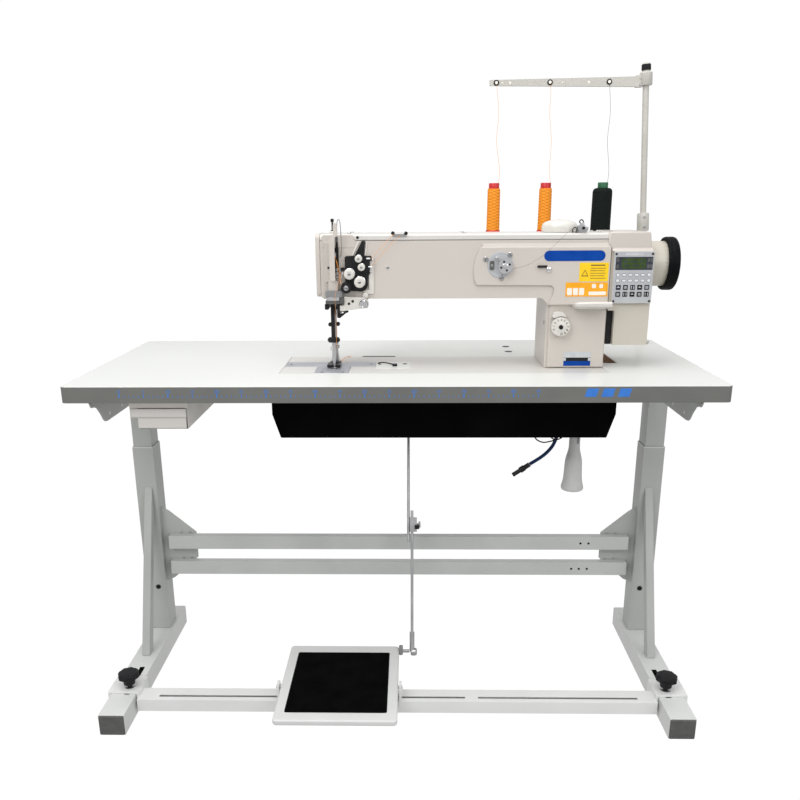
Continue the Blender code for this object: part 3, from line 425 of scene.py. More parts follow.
def rounded(x, z, radius, steps=6):
    """A rectangle's outline with round corners."""
    corners = (((x[1] - radius, z[1] - radius), 0), ((x[0] + radius, z[1] - radius), 90),
               ((x[0] + radius, z[0] + radius), 180), ((x[1] - radius, z[0] + radius), 270))
    points = []
    for centre, start in corners:
        points += arc(centre, radius, start, start + 90, steps)
    return points


def catmull(points, spacing):
    """A smooth route through points, with steps of about the spacing in millimetres."""
    ends = [2 * points[0] - points[1], *points, 2 * points[-1] - points[-2]]
    route = []
    for a, b, c, d in zip(ends, ends[1:], ends[2:], ends[3:]):
        steps = max(2, round((c - b).length / (spacing * MM)))
        for i in range(steps):
            t = i / steps
            route.append(0.5 * (2 * b + (c - a) * t + (2 * a - 5 * b + 4 * c - d) * t * t
                                + (3 * b - a - 3 * c + d) * t ** 3))
    route.append(points[-1])
    return route


def tube(name, points, radius, material, body="head", spacing=4, sides=4, slot=None):
    """A round wire along a smooth curve through points."""
    line = bpy.data.curves.new(name, "CURVE")
    line.dimensions = "3D"
    line.bevel_depth = radius * MM
    line.bevel_resolution = sides
    line.use_fill_caps = True
    route = catmull(points, spacing)
    spline = line.splines.new("POLY")
    spline.points.add(len(route) - 1)
    for target, point in zip(spline.points, route):
        target.co = (*point, 1.0)
    spline.use_smooth = True
    piece = bpy.data.objects.new(name, line)
    bpy.context.scene.collection.objects.link(piece)
    line.materials.append(MATERIALS[material])
    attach(piece, body)
    return piece


def wire(name, places, *finish, **more):
    return tube(name, [at(*place) for place in places], *finish, **more)


def refine(name, material, bevel=1.5, segments=2, slot=None, extra=None):
    """A finer copy of a CAD node: its flat faces are joined again and its edges rounded."""
    source = NODES[name]
    shape = bmesh.new()
    shape.from_mesh(source.data)
    bmesh.ops.remove_doubles(shape, verts=shape.verts, dist=0.02 * MM)
    bmesh.ops.dissolve_limit(shape, angle_limit=math.radians(1.0), verts=shape.verts, edges=shape.edges)
    if extra:
        extra(shape)
    return finish_piece(name + "_look", shape, material, source["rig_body"], bevel, segments, slot, (name,))


def keep(name, material):
    """A CAD node that stays as it is, with a better finish."""
    item = NODES[name]
    item.data.materials.clear()
    item.data.materials.append(MATERIALS[material])


def screw(name, place, radius, material="steel", body="head", way=TO_FRONT, height=2, slot_turn=0.4, slot=None):
    """A slotted screw head: a domed disc with a narrow dark groove across it."""
    profile = ((0, 0), (radius, 0), (radius, height * 0.6), (radius * 0.8, height), (0, height))
    lathe(name, profile, place, material, body, way, 20, slot=slot)
    way = Vector(way)
    side = Matrix.Rotation(slot_turn, 3, way) @ way.orthogonal().normalized()
    groove = bmesh.new()
    bmesh.ops.create_cube(groove, size=1.0)
    spin = Matrix((side, way.cross(side), way)).transposed().to_4x4()
    size = Matrix.Diagonal((radius * 1.5 * MM, radius * 0.22 * MM, height * 0.10 * MM, 1.0))
    bmesh.ops.transform(groove, matrix=Matrix.Translation(place + way * height * MM) @ spin @ size,
                        verts=groove.verts)
    finish_piece(name + "_groove", groove, "black_metal", body)


# ---- light ---------------------------------------------------------------------------------------
def make_light(name, place, target, size, power):
    data = bpy.data.lights.new(name, "AREA")
    data.size = size
    data.energy = power
    lamp = bpy.data.objects.new(name, data)
    bpy.context.scene.collection.objects.link(lamp)
    lamp.location = place
    lamp.rotation_euler = (target - place).to_track_quat("-Z", "Y").to_euler()


def make_surroundings():
    """A plain white room: white behind the machine, and softer light from all round."""
    world = bpy.data.worlds.new("white_room")
    bpy.context.scene.world = world
    world.use_nodes = True
    tree = world.node_tree
    background = tree.nodes["Background"]
    background.inputs["Color"].default_value = (1.0, 1.0, 1.0, 1.0)
    split = tree.nodes.new("ShaderNodeSeparateXYZ")
    tree.links.new(tree.nodes.new("ShaderNodeTexCoord").outputs["Generated"], split.inputs["Vector"])
    height = node(tree, "ShaderNodeMapRange", From_Min=-1.0, From_Max=1.0, To_Min=0.46, To_Max=0.76)
    tree.links.new(split.outputs["Z"], height.inputs["Value"])
    path = tree.nodes.new("ShaderNodeLightPath")
    strength = tree.nodes.new("ShaderNodeMix")
    strength.inputs[3].default_value = 1.02
    tree.links.new(path.outputs["Is Camera Ray"], strength.inputs[0])
    tree.links.new(height.outputs["Result"], strength.inputs[2])
    tree.links.new(strength.outputs[0], background.inputs["Strength"])
    bpy.context.scene.view_settings.view_transform = "Standard"
    for name, place, target, size, power in (("key", (-1300, -1700, 2500), (100, 200, 900), 1.3, 25.0),
                                             ("fill", (1800, -1700, 2000), (100, 200, 800), 1.3, 13.5),
                                             ("top", (0, -200, 2900), (0, 100, 700), 1.8, 30.0)):
        make_light(name, at(*place), at(*target), size, power)


make_surroundings()


# ---- cords ---------------------------------------------------------------------------------------
HOSE_DIAMETER = 8
CABLE_DIAMETER = 3


def make_air_hose():
    """The knee of blue hose under the pan, over the CAD hose's own line."""
    points = [at(*p) for p in ((371, 200, 651), (370.5, 200, 630), (365.9, 200, 610.6), (356.3, 200, 592.8),
                               (338.7, 200, 574.8), (310.5, 200, 555.4))]
    hose = tube("air_hose_look", points, HOSE_DIAMETER / 2, "blue_hose", "table", sides=6)
    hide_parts("air_hose")


def make_pan_cables():
    """Two short loops of thin cable that come out of the pan's underside and go back in."""
    loops = (((302, 150, 651.5), (312.5, 150, 632.7), (319.7, 150, 626.1), (331.4, 150, 622.1),
              (344.1, 152, 623.4), (355.5, 156, 626.1), (364, 160, 638), (367, 160, 651.5)),
             ((342, 168, 651.5), (347.5, 166, 633.3), (355.5, 164, 626.2), (363.2, 164, 624.7),
              (372, 164, 627.9), (378.5, 164, 635), (386, 164, 651.5)))
    for i, loop in enumerate(loops):
        points = [at(*p) for p in loop]
        line = tube(f"pan_cable_{i}", points, CABLE_DIAMETER / 2, "wire_black", "table", slot="black_plastic")


make_air_hose()
make_pan_cables()


# ---- table ---------------------------------------------------------------------------------------
def table_outline(grow, radius):
    """The table top's outline, grown by some millimetres on every side."""
    low, high = TABLE_LOW / MM, TABLE_HIGH / MM
    return rounded((low.x - grow, high.x + grow), (-grow, high.y - FRONT + grow), radius + grow, 8)


def band_ring(name, inner, outer, z, material, body, bevel):
    """A band between two outlines with the same number of points."""
    shape = bmesh.new()
    rows = []
    for outline, level in ((inner, z[0]), (outer, z[0]), (outer, z[1]), (inner, z[1])):
        rows.append([shape.verts.new(at(x, y, level)) for x, y in outline])
    for low, high in zip(rows, rows[1:] + rows[:1]):
        join_rows(shape, low, high)
    return finish_piece(name, shape, material, body, bevel)


def lettering(name, items, material, body, **more):
    """Numerals as thin raised shapes that face the front. Each item is (text, place, height, extra turn)."""
    facing_front = Matrix.Rotation(math.pi / 2, 4, "X")
    shape = bmesh.new()
    for text, place, height, spin in items:
        line = bpy.data.curves.new(name + "_text", "FONT")
        line.body = text
        line.size = height * MM / NUMERAL_HEIGHT
        line.align_x = "CENTER"
        line.align_y = "CENTER"
        line.extrude = 0.1 * MM
        line.resolution_u = 3
        holder = bpy.data.objects.new(name + "_text", line)
        bpy.context.scene.collection.objects.link(holder)
        bpy.context.view_layer.update()
        mesh = holder.to_mesh()
        mesh.transform(Matrix.Translation(place) @ facing_front @ Matrix.Rotation(spin, 4, "Z"))
        shape.from_mesh(mesh)
        holder.to_mesh_clear()
        bpy.data.objects.remove(holder)
        bpy.data.curves.remove(line)
    return finish_piece(name, shape, material, body, **more)


def add_box(shape, low, high):
    corners = [shape.verts.new((x, y, z)) for x in (low[0], high[0]) for y in (low[1], high[1])
               for z in (low[2], high[2])]
    for face in ((0, 1, 3, 2), (4, 6, 7, 5), (0, 4, 5, 1), (2, 3, 7, 6), (0, 2, 6, 4), (1, 5, 7, 3)):
        shape.faces.new([corners[i] for i in face])


def make_table():
    refine("table_top", "laminate", 1.2)
    edge = 0.6
    band_ring("edge_band", table_outline(-1, 12), table_outline(edge, 12), (TOP - THICK - 0.3, TOP - 1.2),
              "edge_grey", "table", 0.4)

    zero = -558.5                # X of the ruler's zero
    front = -edge - 0.1
    numbers = []
    ticks = bmesh.new()
    for centimetre in range(86):
        x = zero + centimetre * 10
        fifth = centimetre % 5 == 0
        tenth = centimetre % 10 == 0
        half_width = 1.2 if tenth else 0.9 if fifth else 0.5
        height = 8 if tenth else 7 if fifth else 4.8
        base = TOP - 23.2
        add_box(ticks, at(x - half_width, front - 0.1, base), at(x + half_width, front + 0.2, base + height))
        if fifth:
            numbers.append((str(centimetre), at(x, front, TOP - 10.5), 7.2 if tenth else 5.8, 0))
    finish_piece("ruler_ticks", ticks, "ruler_blue", "table")
    lettering("ruler_numbers", numbers, "ruler_blue", "table")
    for i in range(3):
        x = 384 + i * 33
        outline = [(x, TOP - 22.2), (x + 23, TOP - 22.2), (x + 28, TOP - 5), (x + 5, TOP - 5)]
        slab(f"edge_mark_{i}", outline, (front - 0.1, front + 0.2), "ruler_blue", "table", 0)

    for i, (x, y) in enumerate(((279, 489.3), (277.4, 413.9))):
        lathe(f"table_mark_{i}", ((0, 0), (9.5, 0), (9.5, 0.4), (6.5, 0.4), (6.5, 0.1), (0, 0.1)),
              at(x, y, TOP), "dark_line", "table", way=UP, slot="black_plastic")
    low, high = ((478.5, 253.5), (507, 384.5))
    for i, (x, y) in enumerate((((low[0], low[0] + 0.8), (low[1], high[1])),
                                ((high[0] - 0.8, high[0]), (low[1], high[1])),
                                ((low[0], high[0]), (high[1] - 0.8, high[1])))):
        block(f"belt_opening_edge_{i}", x, y, (TOP - THICK + 2, TOP - 1.5), "chipboard", "table", 0)


def make_stand():
    for hand, _ in SIDES:
        # painted light and shade: the feet take a lighter copy of the stand paint, the columns and braces a
        # darker one
        refine(f"{hand}_foot", "stand_paint_lit", 4, 4)
        refine(f"{hand}_outer_column", "stand_paint_shaded", 3.2, 3)
        refine(f"{hand}_brace", "stand_paint_shaded", 2)
        refine(f"{hand}_inner_column", "stand_paint_shaded", 1.2)
    refine("upper_rail", "stand_paint", 3, 3)
    refine("lower_rail", "stand_paint", 3, 3)
    # painted light: the crossbar takes the lightest copy of the stand paint
    refine("crossbar", "stand_paint_lit_most", 1.6)
    for hand, side in SIDES:
        x = side * 633
        for end, y in (("front", (-62.5, -56)), ("back", (466, 472.5))):
            block(f"{hand}_foot_cap_{end}", (x - 28.5, x + 28.5), y, (0.6, 49.6), "cap_grey", "stand", 3.5,
                  segments=3, slot="black_plastic")
        column = side * 638
        # painted light: the column collars take the feet's lighter copy of the stand paint
        for i, (x_span, y_span) in enumerate((((-26.2, 26.2), (340.8, 342.4)), ((-26.2, 26.2), (399.6, 401.2)),
                                              ((-26.2, -24.6), (342.4, 399.6)),
                                              ((24.6, 26.2), (342.4, 399.6)))):
            block(f"{hand}_column_collar_{i}", (column + x_span[0], column + x_span[1]), y_span, (553.5, 556),
                  "stand_paint_lit", "stand", 0.3)
        lathe(f"{hand}_column_plug", ((0, 0), (6.2, 0), (6.2, 1.6), (4.5, 3), (0, 3.2)),
              at(side * 632.5, 341, 172), "black_plastic", "stand", sides=24)
        for i, z in enumerate((480, 525)):
            bolt(f"{hand}_column_bolt_{i}", at(column + side * 26, 371, z), (side, 0, 0), 7.5, "stand")
        for i, z in enumerate((318.5, 247.5)):
            for k, dx in enumerate((30, 52)):
                bolt(f"{hand}_rail_bolt_{i}_{k}", at(side * (593 - dx), 364, z), UP, 5, "stand")
        for i, y in enumerate((50, 290, 540)):
            bolt(f"{hand}_bracket_bolt_{i}", at(side * 645, y, TOP - THICK - 3.4), DOWN, 6, "table")
        for i, y in enumerate((124.5, 204.5)):
            lathe(f"{hand}_bracket_hole_{i}", disc(4, 0.2), at(side * 628.4, y, 697.3), "label_white", "table",
                  way=(-side, 0, 0), sides=20, slot="black_metal")
    for i, (x, z) in enumerate(((470.4, 299), (490.9, 299), (450.7, 228), (470.3, 228), (491, 228))):
        lathe(f"rail_hole_{i}", disc(3, 0.2), at(x, 338, z), "black_plastic", "stand", sides=20,
              slot="black_metal")


def bolt(name, place, way, radius, body):
    """A hexagon bolt head on a washer."""
    shape = bmesh.new()
    lathe_into(shape, disc(radius * 1.25, radius * 0.2), place, way, 24)
    head = ((0, 0), (radius, 0), (radius, radius * 0.55), (radius * 0.85, radius * 0.68), (0, radius * 0.68))
    lathe_into(shape, head, place + Vector(way) * radius * 0.2 * MM, way, 6)
    finish_piece(name, shape, "steel", body)


LOBES = 8
LOBE_DEPTH = 0.045               # of the clamp knob's radius


def make_clamp_knobs():
    for hand, side in SIDES:
        x = side * 625
        base = at(x, 50, 0)
        shape = bmesh.new()
        rows = ((0, 64), (13, 64), (14.5, 76), (20, 77.5), (23.5, 81), (23.5, 90), (20.5, 93.8), (8, 95),
                (0, 95))
        lathe_into(shape, rows, base, UP, 64)
        for vert in shape.verts:
            offset = vert.co - base
            radius = math.hypot(offset.x, offset.y)
            if radius > 19 * MM:
                lobe = 1.0 + LOBE_DEPTH * math.cos(LOBES * math.atan2(offset.y, offset.x))
                vert.co.x = base.x + offset.x * lobe
                vert.co.y = base.y + offset.y * lobe
        finish_piece(f"{hand}_clamp_knob_look", shape, "black_plastic", f"{hand}_knob",
                     replaced=(f"{hand}_clamp_knob",))
        shank = bmesh.new()
        lathe_into(shank, ((0, 40), (5.5, 40), (5.5, 66), (0, 66)), base, UP, 20)
        finish_piece(f"{hand}_clamp_shank", shank, "black_metal", f"{hand}_knob", slot="black_plastic")
        lathe(f"{hand}_clamp_washer", ring(5.8, 12.5, 1.2), at(x, 50, 55.2), "steel", "crossbar", way=UP,
              sides=28)


def make_pedal():
    # painted light: the pedal frame takes a lighter copy of the stand paint
    slab("pedal_frame_look", rounded((-262, 6), (-122, 193), 9.5, 6), (70, 84), "stand_paint_lit_pedal", "pedal", 4.2,
         axis="z", segments=4, replaced=("pedal_frame",))
    slab("pedal_mat_look", rounded((-238.5, -18), (-91.5, 158), 3.5, 4), (82.6, 85.6), "rubber_mat", "pedal",
         1.2, axis="z", replaced=("pedal_mat",))
    slab("pedal_mat_groove", rounded((-240, -16.5), (-93, 159.5), 4.5, 4), (82.8, 84.3), "black_plastic",
         "pedal", 0.3, axis="z", slot="rubber_mat")
    for i, (start, end, y) in enumerate(((-274, -255, 19), (-3, 16, 19), (-3, 31.5, 180))):
        lathe(f"pedal_pin_{i}", disc(4, end - start), at(start, y, 77), "steel", "pedal", way=TO_RIGHT,
              sides=24, slot="stand_paint")
    refine("rod_clamp", "steel", 1, slot="black_metal")
    keep("lower_treadle_rod", "steel")
    keep("upper_treadle_rod", "steel")
    block("rod_clamp_screw", (44.5, 56), (266, 270.5), (366, 376), "black_metal", "lower_rod")
    lathe("ball_joint_cap", ((0, 0), (7.5, 0), (9.5, 3), (9.5, 12), (7, 15.5), (0, 16)), at(34.5, 179.5, 75.5),
          "steel", "lower_rod", way=TO_RIGHT, sides=28, slot="black_metal")
    block("ball_joint_block", (5.6, 15.5), (170, 189.5), (70, 89.5), "bar_grey", "pedal", 2.8, segments=3,
          slot="black_metal")


make_table()
make_stand()
make_clamp_knobs()
make_pedal()


# ---- under the table -----------------------------------------------------------------------------
def make_underside():
    refine("oil_pan", "pan_black", 2)
    refine("control_box", "black_plastic", 3, 3)
    refine("drawer", "cream_cover", 2.5, 3, slot="cream_sheet")
    refine("drawer_housing", "cream_sheet", 1.2)
    refine("speed_lever", "steel", 0.8)
    keep("hose_connector", "black_metal")
    keep("hook", "steel")
    for i, z in enumerate((665, 690, 715)):
        block(f"control_box_vent_{i}", (-60, 110), (429.2, 429.8), (z, z + 4), "black_metal", "table", 0,
              slot="black_plastic")
    lathe("control_box_switch", ((0, 0), (10, 0), (10, 4), (8, 6), (0, 6)), at(128, 429.8, 655), "black_metal",
          "table", sides=32, slot="black_plastic")

    neck = 652
    shape = bmesh.new()
    outside = ((0, 494.5), (22.5, 494.5), (24.8, 496), (25.8, 499), (25.6, 503), (24, 509), (22.4, 516),
               (21.5, 523), (20.8, 533), (19.8, 558), (19.2, 565), (18, 572), (17.2, 573.8), (17.2, 576.2),
               (16.5, 577.5), (13.5, 590), (12.6, 597), (12.4, neck - 0.6), (0, neck - 0.6))
    lathe_into(shape, outside, at(411, 200, 0), UP, 48)
    finish_piece("oil_bottle_look", shape, "milky", "table", replaced=("oil_bottle",))
    block("oil_bottle_notch", (415.5, 417.2), (186.5, 188), (608, 630), "dark_frame", "table", 0.4,
          slot="clear_plastic")


# ---- thread stand --------------------------------------------------------------------------------
CONES = ((243, "orange"), (372, "orange"), (514, "dark"))
CONE_FOOT = 1056
EYELET_SHIFT = -2
GUIDE_Z = 1411


POLE_Y = 550
POLE_FOOT = (639, 783.8)         # X and Z of the leaning pole's ends
POLE_TOP = (599, 1440)


def pole_x(z):
    return POLE_FOOT[0] + (z - POLE_FOOT[1]) * (POLE_TOP[0] - POLE_FOOT[0]) / (POLE_TOP[1] - POLE_FOOT[1])


def cone_piece(node_name, x, low, high, cap, thread, top, flange, rim):
    """Thread wound in many fine turns on a cone, with the cone's own ends showing."""
    name = node_name + "_look"
    base = at(x, POLE_Y, CONE_FOOT)
    shoulder = 113
    drop = (high - cap) * 0.75
    turns = 60
    rows = [(6.6, 6)]
    for i in range(turns + 1):
        share = i / turns
        swell = 0.4 if i % 2 else 0
        rows.append((low + (high - low) * share + swell, 7.5 + share * (shoulder - drop - 7.5)))
    for i in range(1, 7):
        turn = i / 6 * math.pi / 2
        rows.append((high - (high - cap - 1.4) * (1 - math.cos(turn)) - (0.4 if i % 2 else 0),
                     shoulder - drop * (1 - math.sin(turn))))
    rows.append((6.6, shoulder))
    shape = bmesh.new()
    lathe_into(shape, rows, base, UP, 48)
    finish_piece(name, shape, thread, "table", replaced=(node_name,), angle=80)
    foot_rows = ((6.6, 0), (low + rim, 0), (low + rim, 6), (low + rim * 0.6, 10), (low + 0.6, 13), (6.6, 13))
    lathe(name + "_foot", foot_rows, base, flange, "table", way=UP, slot=thread)
    top_rows = ((5, shoulder), (cap, shoulder), (cap, 124.5), (cap * 0.95, 126), (5, 126))
    lathe(name + "_top", top_rows, base, top, "table", way=UP, slot=thread)


def make_thread_stand():
    foot = at(POLE_FOOT[0], POLE_Y, POLE_FOOT[1])
    line = at(POLE_TOP[0], POLE_Y, POLE_TOP[1]) - foot
    way = line.normalized()
    length = line.length / MM
    low, high, head = [(z - POLE_FOOT[1]) / way.z for z in (1066, 1108, 1402)]
    rows = ((0, 0), (22, 0), (22, 3), (20, 4), (13, 5.5), (10.5, 11), (7.5, 12), (7.5, low - 2),
            (13.5, low - 1), (14.8, low + 2), (14.8, high - 3), (13.5, high), (7.5, high + 1), (7.5, head),
            (14, head + 0.5), (15, head + 2), (15, length - 10), (13.5, length - 8), (9.8, length - 8),
            (10, length + 10), (8.5, length + 12), (0, length + 12))
    lathe("thread_pole_look", rows, foot, "pole_paint", "table", way=way, replaced=("thread_pole",))
    refine("spool_bar", "pole_paint", 1)
    refine("guide_bar", "pole_paint", 1.2)

    for i, z in enumerate((1075, 1099)):
        screw(f"pole_joint_screw_{i}", at(pole_x(z), 535.5, z), 3.6, body="table")
    screw("spool_bar_screw", at(602, 541, 1040), 3.5, body="table")
    block("guide_clamp", (575, 592), (544, 556), (1398, 1425), "pole_paint", "table", 1.5)
    for i, z in enumerate((1404, 1419)):
        screw(f"guide_clamp_screw_{i}", at(586.5, 544, z), 3, body="table")
    lathe("pole_cap", ((0, 0), (10.8, 0), (11.2, 3), (10.8, 13), (7, 15.5), (0, 16)),
          foot + way * (length - 4.4) * MM, "black_plastic", "table", way=way, sides=36)


def make_eyelets_and_cones():
    for i, (x, _) in enumerate(CONES):
        hole_x = x + EYELET_SHIFT
        lathe(f"eyelet_{i}", ((3.8, 0), (6.6, 0), (6.6, 1.2), (5.2, 2.4), (3.8, 2.4)),
              at(hole_x, 546.1, GUIDE_Z), "black_plastic", "table", sides=32)
        lathe(f"eyelet_light_{i}", disc(3.5, 0.6), at(hole_x, 544, GUIDE_Z), "label_white", "table", sides=24,
              slot="black_plastic")
        lathe(f"eyelet_back_{i}", ((2.8, 0), (5.5, 0), (5, 1.5), (2.8, 1.5)), at(hole_x, 553.9, GUIDE_Z),
              "black_plastic", "table", way=TO_BACK, sides=32)
    for i, (dx, r) in enumerate(((14, 1.6), (33, 2.6), (159, 1.6), (222, 2.8))):
        lathe(f"guide_hole_{i}", disc(r, 0.2), at(CONES[0][0] + EYELET_SHIFT + dx, 546, GUIDE_Z), "label_white",
              "table", sides=20, slot="black_metal")
    for i, (x, _) in enumerate(CONES[:2], 1):
        cone_piece(f"orange_cone_{i}", x, 16.2, 15.4, 13, "orange_thread", "cone_red", "cone_red", 3.6)
    cone_piece("dark_cone", CONES[2][0], 24.4, 24, 12.7, "dark_thread", "cone_green", "black_plastic", 1)
    for i, (x, _) in enumerate(CONES):
        lathe(f"spool_pad_{i}", ((3.5, 0), (20.5, 0), (21.5, 1), (20.5, 2.2), (3.5, 2.2)), at(x, 550, 1049.5),
              "black_plastic", "table", way=UP, sides=40, slot="stand_paint")


make_underside()
make_thread_stand()
make_eyelets_and_cones()


# ---- head: castings ------------------------------------------------------------------------------
PANEL_FRONT = 185.2
PILLAR_FRONT = 192.5


def make_castings():
    refine("bed_plate", "bed_paint", 0.8)

    def lift_bracket_corner(shape):
        for vert in shape.verts:
            place = (vert.co - at(0, 0, 0)) / MM
            if abs(place.x + 59) < 1.5 and place.z < 912.5 and place.y < 210:
                vert.co.z = 916.5 * MM

    refine("arm_casting", "cream_paint", 4.5, 4, extra=lift_bracket_corner)
    block("arm_nose", (-155.5, -118), (250, 300), (914, 940), "cream_paint", bevel=4, segments=3)
    # painted shade: a black block fills the gap between the pillar and the motor housing, standing for the
    # gap's depth
    block("motor_gap", (463.2, 476.5), (200, 330), (834, 908), "black_metal", slot="black_plastic")
    refine("top_cover", "cream_cover", segments=3)
    refine("face_plate", "cream_paint", 3, 3, slot="cream_cover")
    refine("motor_housing", "motor_paint", 3.5, 4)

    # the raised panel, running on over the top of the pillar
    outline = [(176, 964), (171.2, 976), (170, 1001), (173.5, 1020), (183, 1042)]
    outline += [(186, 1044), (461.2, 1044), (461.2, 921.5), (334, 921.5)]
    outline += [(335.5, 930), (341.5, 940), (344, 950), (342.5, 958.5), (337, 962.8)]
    slab("raised_panel", outline, (PANEL_FRONT, 190.8), "cream_paint", bevel=4.2, segments=5)
    slope = [(190.8, 1051), (189.6, 1051), (PANEL_FRONT + 0.3, 1041.2), (190.8, 1041.2)]
    slab("raised_panel_slope", slope, (188, 461), "cream_paint", bevel=0.6, axis="x")
    outline = [(337, 783.4), (460.8, 783.4), (460.8, 923), (340, 923), (337.5, 918)]
    slab("pillar_panel", outline, (PILLAR_FRONT, 197.8), "cream_paint", bevel=4, segments=5)
    # the inner corner between the arm and the pillar is rounded
    corner = [(331.6, 936.6), (309, 936.6)]
    corner += arc((309, 914), 22.2, 90, 0, 8)
    corner += [(331.6, 914)]
    slab("throat_fillet", corner, (198.5, 319), "cream_paint", bevel=0)
    block("arm_seam", (-83, 460), (190.3, 191.2), (1057.4, 1058.6), "cap_grey", bevel=0, slot="cream_paint")
    block("pillar_slot", (330.2, 331.2), (218, 221.5), (876, 884), "cap_grey", bevel=0)
    block("head_end_rib", (-171.2, -169.8), (205, 300), (955, 1055), "cream_paint", bevel=0.6,
          slot="cream_cover")

    shoulder = [(-156, 1044), (-156, 1066), (-153, 1070), (-89.5, 1070), (-87.2, 1068), (-87.2, 1060),
                (-85, 1058), (-85, 1044)]
    slab("arm_shoulder", shoulder, (189.3, 191.2), "cream_paint", bevel=0.6)

    # the cover's own front lip, with a rounded left end
    lip = rounded((-86.2, 460), (1059.5, 1068.5), 4, 5)
    slab("cover_lip", lip, (189.6, 192.5), "cream_cover", bevel=0.8)
    for i, (x, y) in enumerate(((-98, 214), (-98, 300), (150, 214), (150, 300), (440, 214), (440, 300))):
        screw(f"cover_screw_{i}", at(x, y, 1072), 4.2, way=UP)
    screw("cover_lip_screw", at(-79, 189.6, 1065), 3, "black_metal", height=1.6)
    screw("arm_screw", at(-14.7, 190, 1002.5), 3.6, height=1)
    for i, (x, z) in enumerate(((-20, 985), (200, 1020), (400, 1020), (400, 840))):
        lathe(f"rear_plug_{i}", ((0, 0), (11, 0), (11, 1.5), (9, 2.5), (0, 2.5)),
              at(x, 320 if z > 930 else 344, z), "cream_cover", way=TO_BACK, sides=40, slot="cream_paint")


def label(name, x, z, y, material, radius=0.8):
    slab(name, rounded(x, z, radius, 4), (y - 0.4, y + 0.2), material, bevel=0, slot="cream_plastic")


def make_labels():
    front = PANEL_FRONT
    label("name_badge", (319, 449), (1014.2, 1036), front - 0.2, "badge_blue", radius=10.5)
    bars = bmesh.new()
    label("yellow_label", (395.5, 457.5), (971.2, 1010.5), front, "label_yellow")
    for i in range(5):
        z = 977.5 + i * 5.2
        add_box(bars, at(419, front - 0.6, z), at(452 - 3 * (i % 2), front - 0.3, z + 1.2))
    add_box(bars, at(419, front - 0.6, 1004), at(450, front - 0.3, 1006.5))
    finish_piece("yellow_label_bars", bars, "label_ink")
    triangle = bmesh.new()
    corners = ((-8, -6), (8, -6), (0, 8))
    rows = [[triangle.verts.new(at(407.5 + size * dx, level, 988 + size * dz)) for dx, dz in corners]
            for level in (front - 0.6, front) for size in (1.0, 0.7)]
    outer_low, inner_low, outer_high, inner_high = rows
    for low, high in ((outer_low, inner_low), (outer_high, inner_high), (outer_low, outer_high),
                      (inner_low, inner_high)):
        join_rows(triangle, low, high)
    finish_piece("yellow_label_sign", triangle, "label_ink")

    label("orange_label", (368, 458.5), (939.5, 969.2), front, "label_orange")
    boxes = [((x, x + 10.5), (942.5, 957.5), 1.2) for x in (371.5, 384.5, 397.5)]
    boxes += [((418, 455), (942.5, 950), 1.2), ((424, 433), (957, 966), 3), ((440, 448), (957, 966), 3)]
    for i, (x, z, radius) in enumerate(boxes):
        label(f"orange_label_box_{i}", x, z, front - 0.4, "label_white", radius)
    parts = (("top", (373.5, 433), (805.5, 818), 0, "badge_silver", 0.5),
             ("middle", (373.5, 433), (797.5, 805.5), 0, "black_metal", 0.4),
             ("bottom", (373.5, 433), (787, 797.5), 0, "badge_blue", 0.5),
             ("corner_left", (373.5, 378.5), (798.5, 804.5), 0.3, "badge_silver", 0.5),
             ("corner_right", (427.5, 433), (798.5, 804.5), 0.3, "badge_silver", 0.5))
    for part, x, z, lift, material, radius in parts:
        label(f"badge_{part}", x, z, PILLAR_FRONT - lift, material, radius)


# ---- head: winder, dial and levers ---------------------------------------------------------------
def make_winder():
    front = PANEL_FRONT
    lathe("winder_plate_look", ((0, 0), (27.5, 0), (27.5, 1.4), (26.8, 2.2), (0, 2.2)),
          at(226, front + 0.6, 1007), "panel_grey", sides=64, slot="steel", replaced=("winder_plate",))
    shape = bmesh.new()
    rows = ((0, 0), (8.5, 0), (8.5, 1), (15.5, 1.2), (15.8, 2), (15.5, 2.8), (7, 3.2), (7, 8), (15.5, 8.4),
            (15.8, 9.2), (15.5, 10), (6, 10.4), (5.2, 12.4), (3.5, 13), (0, 13))
    base = at(236, front - 2, 1005)
    lathe_into(shape, rows, base, TO_FRONT, 48)
    finish_piece("bobbin_look", shape, "chrome", "bobbin", replaced=("bobbin",))
    for i in range(4):
        angle = math.radians(20 + 90 * i)
        place = base + mm(9.5 * math.cos(angle), -10.1, 9.5 * math.sin(angle))
        lathe(f"bobbin_hole_{i}", disc(2.4, 0.3), place, "black_metal", "bobbin", sides=20)
    for i, (x, z) in enumerate(((194.8, 1018.7), (246.2, 1027.8), (229.6, 979.5))):
        screw(f"winder_screw_{i}", at(x, front, z), 5.5, height=3.2, slot_turn=0.5 + i)
    slab("winder_bracket", rounded((203.5, 213), (996.5, 1015.5), 3, 4), (front - 4.4, front - 1.4), "cap_grey",
         bevel=0.8)
    screw("winder_bracket_screw", at(208.2, front - 4.4, 1006), 2.6, height=1.2)
    lathe("winder_latch", ((0, 0), (4, 0), (4, 5), (3, 6), (0, 6)), at(218, front - 1.4, 1020), "steel",
          sides=24)

    block("cutter_blade", (305, 326), (front - 6, front - 3), (1000.5, 1005.8), "black_metal", bevel=1.8,
          segments=3)
    block("cutter_stem", (308.5, 313), (front - 3.5, front + 0.2), (1001.2, 1005.2), "black_metal", bevel=0.6)
    lathe("cutter_button", ((0, 0), (5, 0), (5.5, 1.5), (5, 4.5), (3, 5.8), (0, 6)), at(330, front, 997.5),
          "chrome", sides=32)


